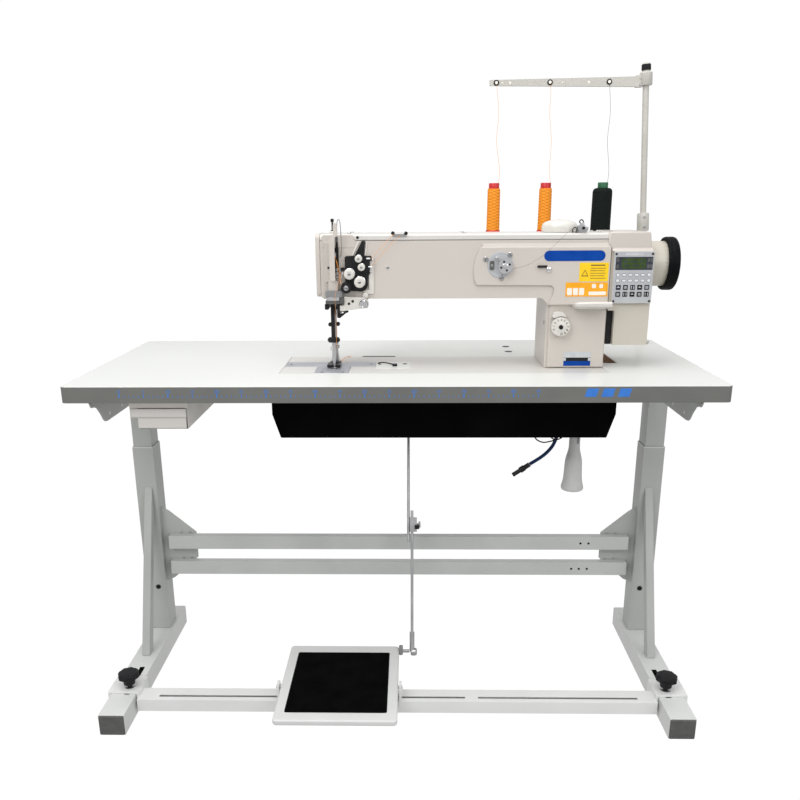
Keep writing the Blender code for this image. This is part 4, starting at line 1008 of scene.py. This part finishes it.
def make_winder_post():
    """The winder's tension post on top of the arm, with its thread."""
    post = at(401, 203, 1081.5)
    block("winder_post_bracket", (389, 406), (204, 206), (1070, 1086), "steel", bevel=0.6)
    lathe("winder_post_disc", ((0, 0), (8.5, 0), (11, 1), (11.2, 2), (6, 3), (11.2, 4), (11.2, 5.2), (8.5, 6.2),
                               (0, 6.2)), post, "steel")
    lathe("winder_post_hub", ((0, 0), (3.2, 0), (3.2, 5), (2.2, 6), (0, 6)), post + mm(0, -5.8, 0),
          "black_metal", sides=28)
    lathe("winder_post_stem", disc(2.4, 13), at(402, 203, 1056), "steel", way=UP, sides=20)
    wire("winder_post_clip", ((380, 201, 1072), (379, 200, 1079), (383.5, 199, 1083), (388, 199, 1079),
                              (386, 200, 1073), (390, 203, 1071.5)), 1.1, "wire_black", spacing=2)
    wire("winder_post_hook", ((396, 203, 1089), (393, 202, 1095), (396.5, 201, 1098.5), (401, 202, 1095),
                              (400, 203, 1088)), 1.2, "wire_black", spacing=2)
    wire("winder_thread", ((392, 192, 1084), (376, 180, 1081), (355.7, 173, 1065.1), (327.2, 172, 1038.2),
                           (310.7, 172, 1023.7), (281.3, 172, 1007), (253.5, 176, 999.5)), 0.25, "dark_line",
         sides=2)


def make_stitch_dial():
    front = PILLAR_FRONT
    base = at(361, front + 0.2, 875)
    rows = ((0, 0), (17, 0), (17, 3), (20, 3.6), (20.5, 5), (20.5, 13.5), (19.8, 14.8), (16.5, 15.5),
            (11, 15.8), (10.5, 17), (6, 17.5), (0, 17.5))
    lathe("stitch_dial_look", rows, base, "cream_plastic", "stitch_dial", sides=72, replaced=("stitch_dial",))
    lathe("stitch_dial_hub", ((0, 0), (4.6, 0), (4.8, 2), (3.6, 2.8), (0, 3)), base + mm(0, -17.2, 0),
          "black_metal", "stitch_dial", sides=32)
    grip = bmesh.new()
    for i in range(48):
        angle = 2 * math.pi * i / 48
        x, z = (361 + 20.7 * math.cos(angle), 875 + 20.7 * math.sin(angle))
        add_box(grip, at(x - 0.4, front - 13, z - 0.4), at(x + 0.4, front - 4.8, z + 0.4))
    finish_piece("stitch_dial_grip", grip, "cream_plastic", "stitch_dial")
    numbers = []
    for i in range(11):
        angle = math.radians(200 - 28 * i)
        place = base + mm(15.2 * math.cos(angle), -15.7, 15.2 * math.sin(angle))
        numbers.append((str(i), place, 5, angle - math.pi / 2))
    lettering("stitch_dial_numbers", numbers, "black_metal", "stitch_dial", slot="black_plastic")
    outline = arc((356, 883), 24.5, 62, 118, 8) + [(342.5, 896), (344, 894)]
    outline += arc((361, 875), 22.2, 120, 60, 8)
    outline += [(372.5, 897.5)]
    slab("dial_pointer_cap", outline, (front - 12.5, front + 0.5), "cream_plastic", bevel=1.8, segments=3)


def make_reverse_lever():
    """A lever with a rounded section that is full at its right end and smaller toward its left."""
    shape = bmesh.new()
    middle = (175, 922)
    stations = ((385, 0.6), (388, 0.82), (395, 0.95), (420, 1.0), (462.5, 1.0))
    section = ((190.5, 914), (190.5, 923), (183, 926.5), (164, 930), (150, 931.8), (146.6, 928.5),
               (147.5, 921.5), (156, 916.5), (180, 912.8))
    rows = []
    for x, share in stations:
        rows.append([shape.verts.new(at(x, middle[0] + (y - middle[0]) * (share * 0.5 + 0.5),
                                        middle[1] + (z - middle[1]) * share)) for y, z in section])
    for low, high in zip(rows, rows[1:]):
        join_rows(shape, low, high)
    shape.faces.new(rows[0])
    shape.faces.new(rows[-1])
    finish_piece("reverse_lever_look", shape, "cream_cover", "reverse_lever", bevel=2.2, segments=4,
                 slot="cream_plastic", replaced=("reverse_lever",))


def make_foot_lift_dial():
    rows = ((0, 0), (38, 0), (38, 1.2), (38.5, 1.4), (38.5, 10), (37.5, 15), (34.5, 19), (29, 22), (20, 24.5),
            (10, 25.8), (0, 26.2))
    lathe("foot_lift_dial_look", rows, at(358, 240, 1072.6), "cream_plastic", "foot_lift_dial", way=UP,
          sides=72, replaced=("foot_lift_dial",))
    lathe("foot_lift_gap", ring(30, 37.6, 1.3), at(358, 240, 1071.6), "black_plastic", way=UP, sides=56)


# ---- head: motor and its panel -------------------------------------------------------------------
SHAFT_Z = 1003.5
PANEL_KEYS_FRONT = 178


def make_panel_screen():
    front = PANEL_KEYS_FRONT
    slab("motor_panel_frame", rounded((466, 551.8), (924.5, 1034.5), 3, 4), (179, 187), "motor_paint",
         bevel=1.4)
    face = slab("control_panel_look", rounded((466.5, 551), (925.5, 1033.5), 2.2, 4), (front, 180),
                "panel_grey", bevel=0.6)
    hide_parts("control_panel")
    slab("lcd_frame", rounded((470, 548.5), (995.5, 1022.5), 1.2, 3), (front - 0.4, front + 0.2), "dark_frame",
         bevel=0)
    slab("lcd", rounded((483.5, 533.5), (998.5, 1019.5), 1, 3), (front - 0.7, front - 0.2), "lcd_green",
         bevel=0)
    segments = bmesh.new()
    for i in range(9):
        x = 487.5 + i * 4.8
        for k, z in enumerate((1002, 1010.5)):
            if (i + k) % 4 != 3:
                add_box(segments, at(x, front - 0.9, z), at(x + 2.6, front - 0.6, z + 5.2))
    finish_piece("lcd_digits", segments, "dark_frame")
    keys = bmesh.new()
    for x in (471.8, 537, 543.2):
        for z in (999, 1012):
            add_box(keys, at(x, front - 0.7, z), at(x + 4.8, front - 0.2, z + 7.8))
    finish_piece("lcd_keys", keys, "cap_grey", slot="panel_grey")


def make_oval_keys():
    front = PANEL_KEYS_FRONT
    inset = 0.7
    for row, z in enumerate((985.2, 973.3)):
        for i in range(6):
            x = 476.5 + i * 13.2
            round_key = i in (0, 5)
            wide, tall = (4.2, 4.2) if round_key else (5, 3.2)
            slab(f"key_ring_{row}_{i}", rounded((x - wide, x + wide), (z - tall, z + tall), tall * 0.98, 5),
                 (front - 0.4, front + 0.1), "black_metal" if round_key else "dark_frame", bevel=0,
                 slot="black_plastic")
            wide, tall = wide - inset, tall - inset
            slab(f"key_{row}_{i}", rounded((x - wide, x + wide), (z - tall, z + tall), tall * 0.95, 5),
                 (front - 0.7, front - 0.3), "key_light", bevel=0)


# plain signs for the square keys: bars as (left, right, low, high) from the key's middle
KEY_MARKS = (((-3, 3, -0.5, 0.5), (-0.5, 0.5, 0.8, 3)),
             ((-3, 3, -2.4, -1.6), (-3, 3, -0.4, 0.4), (-3, 3, 1.6, 2.4)),
             ((-3, -2, -3, 3), (2, 3, -3, 3)))


def make_square_keys():
    front = PANEL_KEYS_FRONT
    half = 5.2
    for row, (z, dark) in enumerate(((959, False), (944.6, True))):
        for i in range(5):
            x = 479 + i * 15.2
            slab(f"square_key_{row}_{i}", rounded((x - half, x + half), (z - half, z + half), 1, 3),
                 (front - 0.5, front + 0.1), "black_metal" if dark or i % 2 else "dark_frame", bevel=0,
                 slot="black_plastic")
            mark = bmesh.new()
            for left, right, low, high in KEY_MARKS[(row + i) % 3]:
                add_box(mark, at(x + left, front - 0.8, z + low), at(x + right, front - 0.4, z + high))
            finish_piece(f"square_key_mark_{row}_{i}", mark, "key_light")


def make_panel_trim():
    front = PANEL_KEYS_FRONT
    for i, (x, z) in enumerate(((470.5, 1028.5), (547, 1028.5), (470.5, 930), (547, 930))):
        screw(f"panel_screw_{i}", at(x, front, z), 2.4, "black_metal", height=1)
    slab("panel_mark", rounded((490, 528), (1025.5, 1030), 2, 3), (front - 0.3, front + 0.1), "badge_silver",
         bevel=0, slot="panel_grey")


def make_motor():
    cap = [(454.8, 1048), (454.8, 1069), (456, 1072.2), (460, 1073.8), (537, 1073.8), (540.5, 1072.5),
           (542, 1069), (545.5, 1048), (546.8, 1040), (462, 1040)]
    slab("motor_cap", cap, (184.8, 335), "cream_paint", bevel=3.5, segments=4, slot="cream_cover")
    step = [(184.8, 1042.5), (184.8, 1040), (179.5, 1034), (188, 1034), (188, 1042.5)]
    slab("motor_step", step, (462.5, 548), "cream_paint", axis="x", slot="cream_cover")
    for i in range(7):
        z = 885 + i * 12
        block(f"motor_vent_{i}", (490, 530), (332.8, 333.4), (z, z + 4.5), "black_metal", bevel=0,
              slot="black_plastic")
    for i, x in enumerate((482.5, 538.5)):
        screw(f"motor_rear_screw_{i}", at(x, 335, 1055), 3.6, way=TO_BACK)
    lathe("neck_ring", ((12, 0), (48.4, 0), (48.4, 40), (47, 42.2), (12, 42.2)), at(551.5, 255, SHAFT_Z),
          "motor_paint", way=TO_RIGHT, sides=96)


def make_handwheel():
    rows = ((0, 7), (50, 7), (50.8, 1), (51.5, 0), (53.5, 0), (56, 1.2), (57.3, 4.5), (57.3, 6), (56.8, 6.8),
            (56.8, 8), (57.3, 8.8), (57.3, 19), (56.2, 22.5), (53.5, 24.8), (48, 26), (45, 25), (40, 22),
            (34, 22.5), (32.5, 24.5), (20, 25.2), (18.5, 26), (0, 26))
    shape = bmesh.new()
    wheel = at(590, 255, SHAFT_Z)
    lathe_into(shape, rows, wheel, TO_RIGHT, 96)
    finish_piece("handwheel_look", shape, "wheel_black", "drive", replaced=("handwheel",))
    for i in range(3):
        angle = math.radians(30 + 120 * i)
        place = wheel + mm(24.8, 26.2 * math.cos(angle), 26.2 * math.sin(angle))
        screw(f"wheel_screw_{i}", place, 3.4, "black_metal", "drive", way=TO_RIGHT, height=1.6)
    mark = wheel + mm(14, 0, 57)
    dot = bmesh.new()
    add_box(dot, mark - mm(4, 0.6, 0.4), mark + mm(4, 0.6, 0.8))
    finish_piece("wheel_mark", dot, "label_white", "drive")
    keep("main_shaft", "steel")


make_castings()
make_labels()
make_winder()
make_winder_post()
make_stitch_dial()
make_reverse_lever()
make_foot_lift_dial()
make_panel_screen()
make_oval_keys()
make_square_keys()
make_panel_trim()
make_motor()
make_handwheel()


# ---- head: tensions and take-up ------------------------------------------------------------------
PLATE_FRONT = 183.6


DISC_SHARE = 0.42               # of a tension knob's depth; the nut takes the rest
KNURLS = 24
KNURL_DEPTH = 0.018             # of the nut's radius


def turn_profile(radius, rows):
    """A profile whose radii are given as shares of one radius."""
    return [(radius * share, height) for share, height in rows]


def tension_knob(name, node_name, x, z, radius, nut, discs):
    """A domed tension nut in front of two dished discs on a post."""
    base = at(x, PLATE_FRONT - 0.4, z)
    depth = PLATE_FRONT - 0.5 - (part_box(node_name)[0].y / MM - FRONT)
    foot = depth * DISC_SHARE
    rows = turn_profile(radius, ((0, 0), (0.92, 0), (1.02, 0.8), (0.92, 1.4), (0.45, 2.2), (0.92, 3),
                                 (1.02, 3.6), (0.92, 4.4), (0.5, 5), (0.5, foot), (0, foot)))
    lathe(name + "_discs", rows, base, discs, slot="chrome")
    start = base + mm(0, -foot, 0)
    height = depth * (1 - DISC_SHARE)
    shares = ((0, 0), (0.8, 0), (0.96, 0.1), (1, 0.25), (1, 0.7), (0.92, 0.9), (0.78, 1), (0.34, 1), (0.3, 0.9),
              (0, 0.9))
    shape = bmesh.new()
    lathe_into(shape, [(radius * across, height * along) for across, along in shares], start, TO_FRONT, 72)
    for vert in shape.verts:
        offset = vert.co - start
        reach = math.hypot(offset.x, offset.z)
        if reach > radius * 0.95 * MM:
            wave = 1.0 + KNURL_DEPTH * math.cos(KNURLS * math.atan2(offset.z, offset.x))
            vert.co.x = start.x + offset.x * wave
            vert.co.z = start.z + offset.z * wave
    finish_piece(name + "_look", shape, nut, name, replaced=(node_name,))
    tip = start + mm(0, -height * 0.88, 0)
    post = turn_profile(radius, ((0, 0), (0.26, 0), (0.26, 1.8), (0.18, 2.4), (0, 2.4)))
    lathe(name + "_post", post, tip, "steel", name, sides=24)
    groove = bmesh.new()
    wide, narrow = radius * 0.24, radius * 0.05
    add_box(groove, tip + mm(-wide, -2.7, -narrow), tip + mm(wide, -2.2, narrow))
    finish_piece(name + "_groove", groove, "black_metal", name)


def make_tensions():
    outline = [(-107, 1024), (-104, 1027), (-50, 1027), (-49, 1025.5), (-49, 1018), (-53, 1016), (-53, 990),
               (-57, 985), (-58, 970)]
    outline += arc((-74.5, 969), 17, 0, -110, 8)
    outline += [(-90, 953), (-98, 954), (-105, 960), (-107, 968)]
    slab("tension_plate_look", outline, (PLATE_FRONT, 189.6), "black_metal", bevel=1.2, segments=3,
         replaced=("tension_plate",))
    side = [(-56, 1026.8), (-44.8, 1026.8), (-44.8, 946.5), (-60, 946.5), (-70, 953), (-56, 956)]
    slab("tension_side_plate", side, (186.2, 190.2), "cream_plastic")
    wedge = [(-70, 1057.8), (-62.5, 1057.8), (-65.5, 1027), (-86, 1027)]
    slab("tension_wedge", wedge, (185.6, 190.2), "black_metal", bevel=0.8)
    for hand, top, low in (("left", (-79, -75), (-89, -93.5)), ("right", (-60, -57.5), (-61.5, -64.5))):
        flank = [(top[0], 1056), (top[1], 1056), (low[0], 1027.5), (low[1], 1027.5)]
        slab(f"tension_wedge_flank_{hand}", flank, (188, 190.2), "cream_sheet", bevel=0.5, slot="cream_paint")
    for size, i, x, z, radius in (("small", 1, -77, 1021.5, 7.8), ("small", 2, -71, 1004, 7.8),
                                  ("large", 1, -97, 990, 11.5), ("large", 2, -75, 973, 11.8)):
        tension_knob(f"{size}_knob_{i}", f"{size}_tension_knob_{i}", x, z, radius, "cream_plastic", "chrome")
    tension_knob("check_knob", "check_spring_knob", -104, 961, 11.8, "black_plastic", "black_metal")
    lathe("check_knob_face", ((0, 0), (5, 0), (5, 0.8), (4.2, 1.4), (0, 1.4)), at(-104, 165.2, 961), "steel",
          "check_knob", sides=36)
    block("check_knob_slot", (-107.8, -100.2), (163.2, 163.8), (960.6, 961.4), "black_metal", "check_knob", 0)
    lathe("check_spring_ring", ring(7.8, 9.8, 1.6), at(-104, 166.8, 961), "black_metal", "check_knob", sides=40)


def make_thread_pins():
    for i, (x, z, length) in enumerate(((-60, 1021.5, 8.5), (-56, 1004.5, 8))):
        lathe(f"thread_pin_{i}", ((0, 0), (1.8, 0), (1.8, length - 1), (1.2, length), (0, length)),
              at(x, 179, z), "chrome", way=TO_RIGHT, sides=20)
        lathe(f"thread_pin_foot_{i}", disc(1.5, 6), at(x + 2, 184, z), "chrome", sides=16)
    wire("thread_guide_wire", ((-47, 185, 1025), (-45.5, 179, 1023.5), (-47, 177, 1018), (-50, 179, 1013),
                               (-48, 185, 1010)), 0.9, "chrome", spacing=2)
    wire("thread_guide_wire_low", ((-48, 185.5, 1008), (-49, 179, 1006), (-51, 177.5, 1000), (-53, 179, 995),
                                   (-51, 185.5, 992)), 0.9, "chrome", spacing=2)
    wire("check_spring", ((-108, 185, 996), (-112, 178, 990), (-115, 175, 978), (-113, 176, 966),
                          (-108, 178, 959)), 0.7, "chrome", spacing=2)
    block("check_stop", (-116, -108), (180, 190), (996, 1003), "black_metal", bevel=1.2)


def make_top_guide():
    """The thread guide on top of the arm, in front of the cover."""
    slab("top_guide", rounded((-4.5, 25.5), (1066, 1072.5), 2.5, 4), (187, 190), "steel", bevel=0.7)
    for i, x in enumerate((-3.5, 24.5)):
        lathe(f"top_guide_eye_{i}", ((1.2, 0), (3.6, 0), (4, 1), (3.6, 2.6), (1.2, 2.6)),
              at(x, 187.4, 1073.5 if i == 0 else 1073), "black_metal", sides=28)
    screw("top_guide_screw", at(10.5, 187.2, 1069.5), 2.6, height=1.4)


def make_take_up():
    """The take-up lever and the slotted guard in front of it."""
    guard = [(-138, 976.4), (-138, 1061), (-136.5, 1065), (-131, 1068), (-129.2, 1070), (-129.2, 1090),
             (-127.8, 1094.8), (-125, 1096.4), (-122, 1094.8), (-120.3, 1089), (-120.3, 1069), (-123, 1067.2),
             (-126.5, 1066.5), (-126.5, 976.4)]
    slab("take_up_guard", guard, (164, 165.4), "cream_paint", bevel=0.6, slot="cream_plastic")
    block("take_up_guard_side", (-138, -136.6), (164.8, 190.8), (980, 1060), "cream_paint", bevel=0.5,
          slot="cream_plastic")
    # painted shade: a black block behind the guard's slot stands for the shade inside the slot
    block("take_up_slot", (-126.2, -121), (187.2, 189.2), (998, 1067), "black_metal", bevel=0.6)
    block("take_up_guard_plate", (-150, -134.5), (186.2, 190.2), (972, 1056), "cream_paint", bevel=0.8,
          slot="cream_plastic")
    screw("take_up_guard_screw", at(-142.5, 186.2, 1002.5), 2.4, "black_metal", height=1)
    wire("take_up_wire", ((-121.2, 174, 1056), (-121, 169, 1072), (-120.6, 167, 1090), (-119, 166, 1100),
                          (-116.8, 166, 1103), (-114.6, 166, 1100), (-113.2, 167, 1090), (-112.8, 174, 1065),
                          (-113, 183, 1045), (-114.5, 188, 1030), (-117, 189, 1026)), 0.9, "steel", spacing=3)
    refine("take_up_lever", "steel", 0.6)
    lathe("take_up_eye", ring(1.8, 4, 4.2), at(-128.6, 172, 1030), "steel", "take_up", way=TO_RIGHT, sides=28)
    for i, z in enumerate((998.5, 990.5, 983)):
        lathe(f"take_up_link_{i}", ((0, 0), (3.4, 0), (3.8, 1), (3.8, 3), (3, 4), (0, 4)), at(-124, 189.2, z),
              "steel", sides=24)


def make_lower_plates():
    """The plates under the guard, where the bars leave the head."""
    slab("lower_guard", rounded((-143, -122.5), (954.5, 975.5), 2, 3), (179, 184), "cream_paint", bevel=0.8,
         slot="cream_sheet")
    slab("bar_plate_upper", rounded((-150, -113), (940.5, 954.5), 3, 3), (175, 185), "bar_grey")
    slab("bar_plate_light", rounded((-146, -120), (933.5, 940.5), 1.2, 3), (174.5, 185), "chrome", bevel=0.8)
    block("bar_plate_dark", (-150, -110.5), (176, 189), (926, 933.5), "cap_grey")
    block("bar_plate_block", (-118.5, -109.5), (175, 189), (927, 940), "cap_grey")
    block("bar_housing_left", (-152.5, -144), (180, 230), (913.5, 926.2), "black_metal", bevel=2, segments=3)
    block("bar_housing_right", (-126.2, -119.5), (180, 230), (898.5, 926.2), "black_metal", bevel=2, segments=3)
    outline = [(-119.5, 922.5), (-119.5, 910.8), (-112, 910.5), (-82, 915.2), (-64, 917.5)]
    outline += arc((-66.8, 926.2), 11.2, -70, 60, 8)
    outline += [(-70, 940), (-110.5, 942), (-110.5, 923)]
    slab("lower_plate", outline, (180, 184), "cream_plastic", bevel=1.2, segments=3)
    lathe("lower_plate_stud", ((0, 0), (7.8, 0), (8.5, 1.5), (8.5, 4.5), (7.2, 5.6), (6, 5.6), (5.2, 4.8),
                               (0, 4.8)), at(-67.8, 180.2, 925.9), "chrome")
    lathe("lower_plate_stud_ring", ring(7.8, 9.2, 1), at(-67.8, 180.1, 925.9), "black_metal")
    for i, (x, z, radius) in enumerate(((-99.5, 926.5, 2.9), (-91.2, 931.6, 2.9))):
        lathe(f"lower_plate_hole_{i}", disc(radius, 0.3), at(x, 180, z), "black_metal", sides=24)
    lathe("lower_plate_dome", ((0, 0), (6.6, 0), (6, 2), (4, 3.4), (0, 4)), at(-64, 186.2, 943.5),
          "cream_plastic", sides=32)


def make_regulator():
    rows = ((0, 1053.5), (1.7, 1053.5), (1.7, 1072.5), (4.2, 1072.7), (4.2, 1078), (3, 1079), (1.8, 1079.5),
            (1.8, 1095.5), (3, 1096), (3.8, 1097.5), (3.8, 1101), (2.8, 1103), (0, 1103))
    lathe("regulator_look", rows, at(-137, 243, 0), "black_metal", "regulator", way=UP, sides=32,
          replaced=("regulator_screw",))
    lathe("regulator_collar", ((4.8, 0), (6.5, 0), (6.5, 4), (5.6, 5.2), (4.8, 5.2)), at(-137, 243, 1071.8),
          "cream_plastic", way=UP, sides=32)


# ---- head: bars, foot and needle plate -----------------------------------------------------------
NEEDLE_X = -137


def make_bars():
    keep("needle_bar", "chrome")
    lathe("presser_bar_look", ((0, 838), (4.5, 838), (4.5, 1040), (0, 1040)), at(NEEDLE_X, 243, 0), "chrome",
          "presser", way=UP, sides=32, replaced=("presser_bar",))
    refine("presser_lifter", "black_metal", 1)
    walk = 208
    x = NEEDLE_X
    block("walking_foot_look", (x - 5, x + 3.6), (walk - 4.8, walk + 4.8), (848, 999), "black_metal",
          "walking_foot", 1.2, segments=3, replaced=("walking_foot",))
    lathe("walking_side_rod", disc(1.7, 74), at(x + 6.2, walk - 1, 848), "steel", "walking_foot", way=UP,
          sides=20)
    for i, (dx, z) in enumerate(((-6.6, 879), (10.6, 880))):
        lathe(f"walking_side_screw_{i}", ((0, 0), (4.2, 0), (4.6, 0.8), (4.6, 4.2), (3.6, 5.2), (0, 5.2)),
              at(x + dx, walk - 2, z), "black_metal", "walking_foot", sides=32)
    shape = bmesh.new()
    add_box(shape, at(x - 11.5, walk - 7.2, 838.5), at(x + 11.5, walk + 5.8, 850))
    finish_piece("walking_clamp", shape, "black_metal", "walking_foot", bevel=2.2, segments=3)
    for i, (_, side) in enumerate(SIDES):
        screw(f"walking_clamp_screw_{i}", at(x + side * 11.2, walk - 1, 844.2), 3.8, "black_metal",
              "walking_foot", way=(side, 0, 0), height=2.4)
    outline = [(x - 2.4, 839), (x + 3.6, 839), (x + 4, 825), (x + 4.6, 808), (x + 3, 796), (x + 2.4, 790),
               (x - 2.4, 790), (x - 3, 796), (x - 4.6, 808), (x - 3.4, 825)]
    slab("walking_shank", outline, (walk - 4.2, walk + 3.6), "steel", "walking_foot", segments=3)
    block("walking_toe", (x - 2.6, x + 2.6), (walk - 2, walk + 6), (783.6, 792.5), "steel", "walking_foot")
    for part, x_span, y_span, top in (("left", (x - 16.5, x - 3.2), (200, 234), 789),
                                      ("right", (x + 3.2, x + 13.5), (200, 234), 789),
                                      ("bridge", (x - 12.5, x + 12.5), (232, 251), 790)):
        block(f"presser_foot_{part}", x_span, y_span, (783.4, top), "black_metal", "presser", 1.4, segments=3)
    outline = [(x - 8.6, 788.5), (x - 7.6, 798.5), (x - 5.8, 812), (x - 5, 838), (x + 5.4, 838), (x + 6, 812),
               (x + 7.8, 798.5), (x + 8.8, 788.5)]
    slab("presser_foot_shank", outline, (235.5, 250.5), "steel", "presser", 1.2)
    screw("presser_foot_screw", at(x + 5.6, 243, 824), 4, body="presser", way=TO_RIGHT, height=3.5)
    wire("needle_thread_guide", ((x - 5.8, 222, 828), (x - 8.5, 216, 823.5), (x - 6, 211, 820.5),
                                 (x - 3, 216, 818)), 0.7, "steel", "needle_bar", 2)
    screw("needle_screw", at(x + 6, 224, 835), 2.6, body="needle_bar", way=TO_RIGHT, height=2.8)
    outline = [(-126.2, 896), (-120, 895), (-106.5, 906), (-107.5, 908.5), (-118, 904), (-126.2, 906)]
    slab("lifter_tip", outline, (183, 189), "black_metal", bevel=0.8)


def make_needle_plate():
    refine("needle_plate", "plate_steel", 0.3)
    for i, (x, y) in enumerate(((-55.7, 245.1), (-240, 245.1), (-160, 150), (-114, 150))):
        lathe(f"needle_plate_screw_{i}", disc(3.2, 0.3), at(x, y, TOP - 0.1), "dark_frame", way=UP, sides=24,
              slot="steel")
    for i in range(5):
        y = 160 + i * 8
        block(f"needle_plate_line_{i}", (-162, -112), (y, y + 0.4), (TOP - 0.1, TOP + 0.1), "dark_frame",
              bevel=0, slot="steel")
    # painted shade: a black sheet in the needle plate's feed slot stands for the shaded opening under the teeth
    block("feed_slot", (-144, -130), (190, 260), (TOP - 0.2, TOP + 0.12), "black_metal", bevel=0)
    for i in range(10):
        y = 200 + i * 6
        block(f"feed_tooth_{i}", (-142.5, -131.5), (y, y + 2.8), (TOP - 0.2, TOP + 0.6), "steel", bevel=0.4)
    slab("latch_plate", rounded((-44, 34), (190, 268), 3, 4), (TOP - 0.4, TOP + 0.8), "laminate", bevel=0.4,
         axis="z", slot="cream_paint")
    wire("latch_wire", ((-34, 237, TOP + 1.2), (-40, 245, TOP + 1.6), (-38, 256, TOP + 1.6),
                        (-30, 259, TOP + 1.6), (-18, 250, TOP + 1.8), (-2, 228, TOP + 2.4)), 1.2, "wire_black",
         spacing=3)
    block("latch_grip", (-7, 4), (214, 230), (TOP + 0.6, TOP + 4.8), "black_plastic", bevel=1.8, segments=3)
    screw("latch_screw", at(21.5, 244, TOP + 0.6), 5.2, "dark_frame", way=UP, height=1, slot="steel")
    # painted shade: a black strip on the table top stands for the shaded depth of the slit
    block("table_slit", (-81.4, -2.3), (344, 350), (TOP - 0.1, TOP + 0.6), "pan_black", "table", 0)


# ---- threads -------------------------------------------------------------------------------------
THREAD = 0.29


def thread_mesh(name, points, material, spacing=6):
    """A thin thread as a mesh, on no body."""
    route = catmull(points, spacing)
    shape = bmesh.new()
    rows = []
    for i, point in enumerate(route):
        way = (route[min(i + 1, len(route) - 1)] - route[max(i - 1, 0)]).normalized()
        side = way.cross(Vector(TO_BACK))
        side = side.normalized() if side.length > 0.01 else Vector(TO_RIGHT)
        other = way.cross(side)
        rows.append([shape.verts.new(point + (side * math.cos(a) + other * math.sin(a)) * THREAD * MM)
                     for a in (k * math.pi / 3 for k in range(6))])
    for low, high in zip(rows, rows[1:]):
        join_rows(shape, low, high)
    shape.faces.new(rows[0])
    shape.faces.new(rows[-1])
    return finish_piece(name, shape, material, None, angle=180)


def make_cone_threads():
    wobble = (2.2, -3, 1.6)
    for i, (x, colour) in enumerate(CONES):
        bend = wobble[i]
        wire(f"cone_thread_{i}", ((x + 11, 550, CONE_FOOT + 126.2), (x + 10 + bend, 549, 1215),
                                  (x + 5 - bend, 548, 1280), (x + 4 + bend, 547, 1340), (x + 1, 546, 1390),
                                  (x + EYELET_SHIFT, 544.5, GUIDE_Z)), THREAD * 1.5, f"{colour}_line", "table",
             6, 2)


def make_head_threads():
    """Orange threads over the arm's guide, to the tensions, the take-up and the needle."""
    runs = {
        "arm_thread_0": ((-2, 185, 1072), (-25, 182, 1047), (-50, 178, 1022)),
        "arm_thread_1": ((13, 185, 1070), (-18, 182, 1040), (-51, 178, 1005)),
        "check_thread": ((-114, 174, 993), (-116, 170, 982), (-115.5, 169, 972)),
        "take_up_thread_0": ((-127.2, 168, 1029), (-118.5, 170, 1000), (-117.5, 170, 978), (-112, 172, 960)),
        "take_up_thread_1": ((-126.2, 168, 1029), (-120.5, 170, 998), (-119.5, 171, 976), (-127, 172, 952),
                             (-130, 173.5, 933)),
    }
    for name, places in runs.items():
        wire(name, places, THREAD, "orange_line", spacing=5, sides=2)
    points = [at(*p) for p in ((-129, 173.5, 933), (-130, 196, 890), (-130.5, 199, 845), (-133, 206, 825),
                               (-136.8, 221.5, 797))]
    thread = thread_mesh("needle_thread", points, "orange_line")
    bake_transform(thread)
    wire("thread_tail", ((-133.5, 260, TOP + 1), (-127, 290, TOP + 1.2), (-118, 315, TOP + 5),
                         (-113, 340, TOP + 1.2), (-109, 344, TOP + 3)), THREAD * 2, "orange_line", sides=2)


make_tensions()
make_thread_pins()
make_top_guide()
make_take_up()
make_lower_plates()
make_regulator()
make_bars()
make_needle_plate()
make_cone_threads()
make_head_threads()
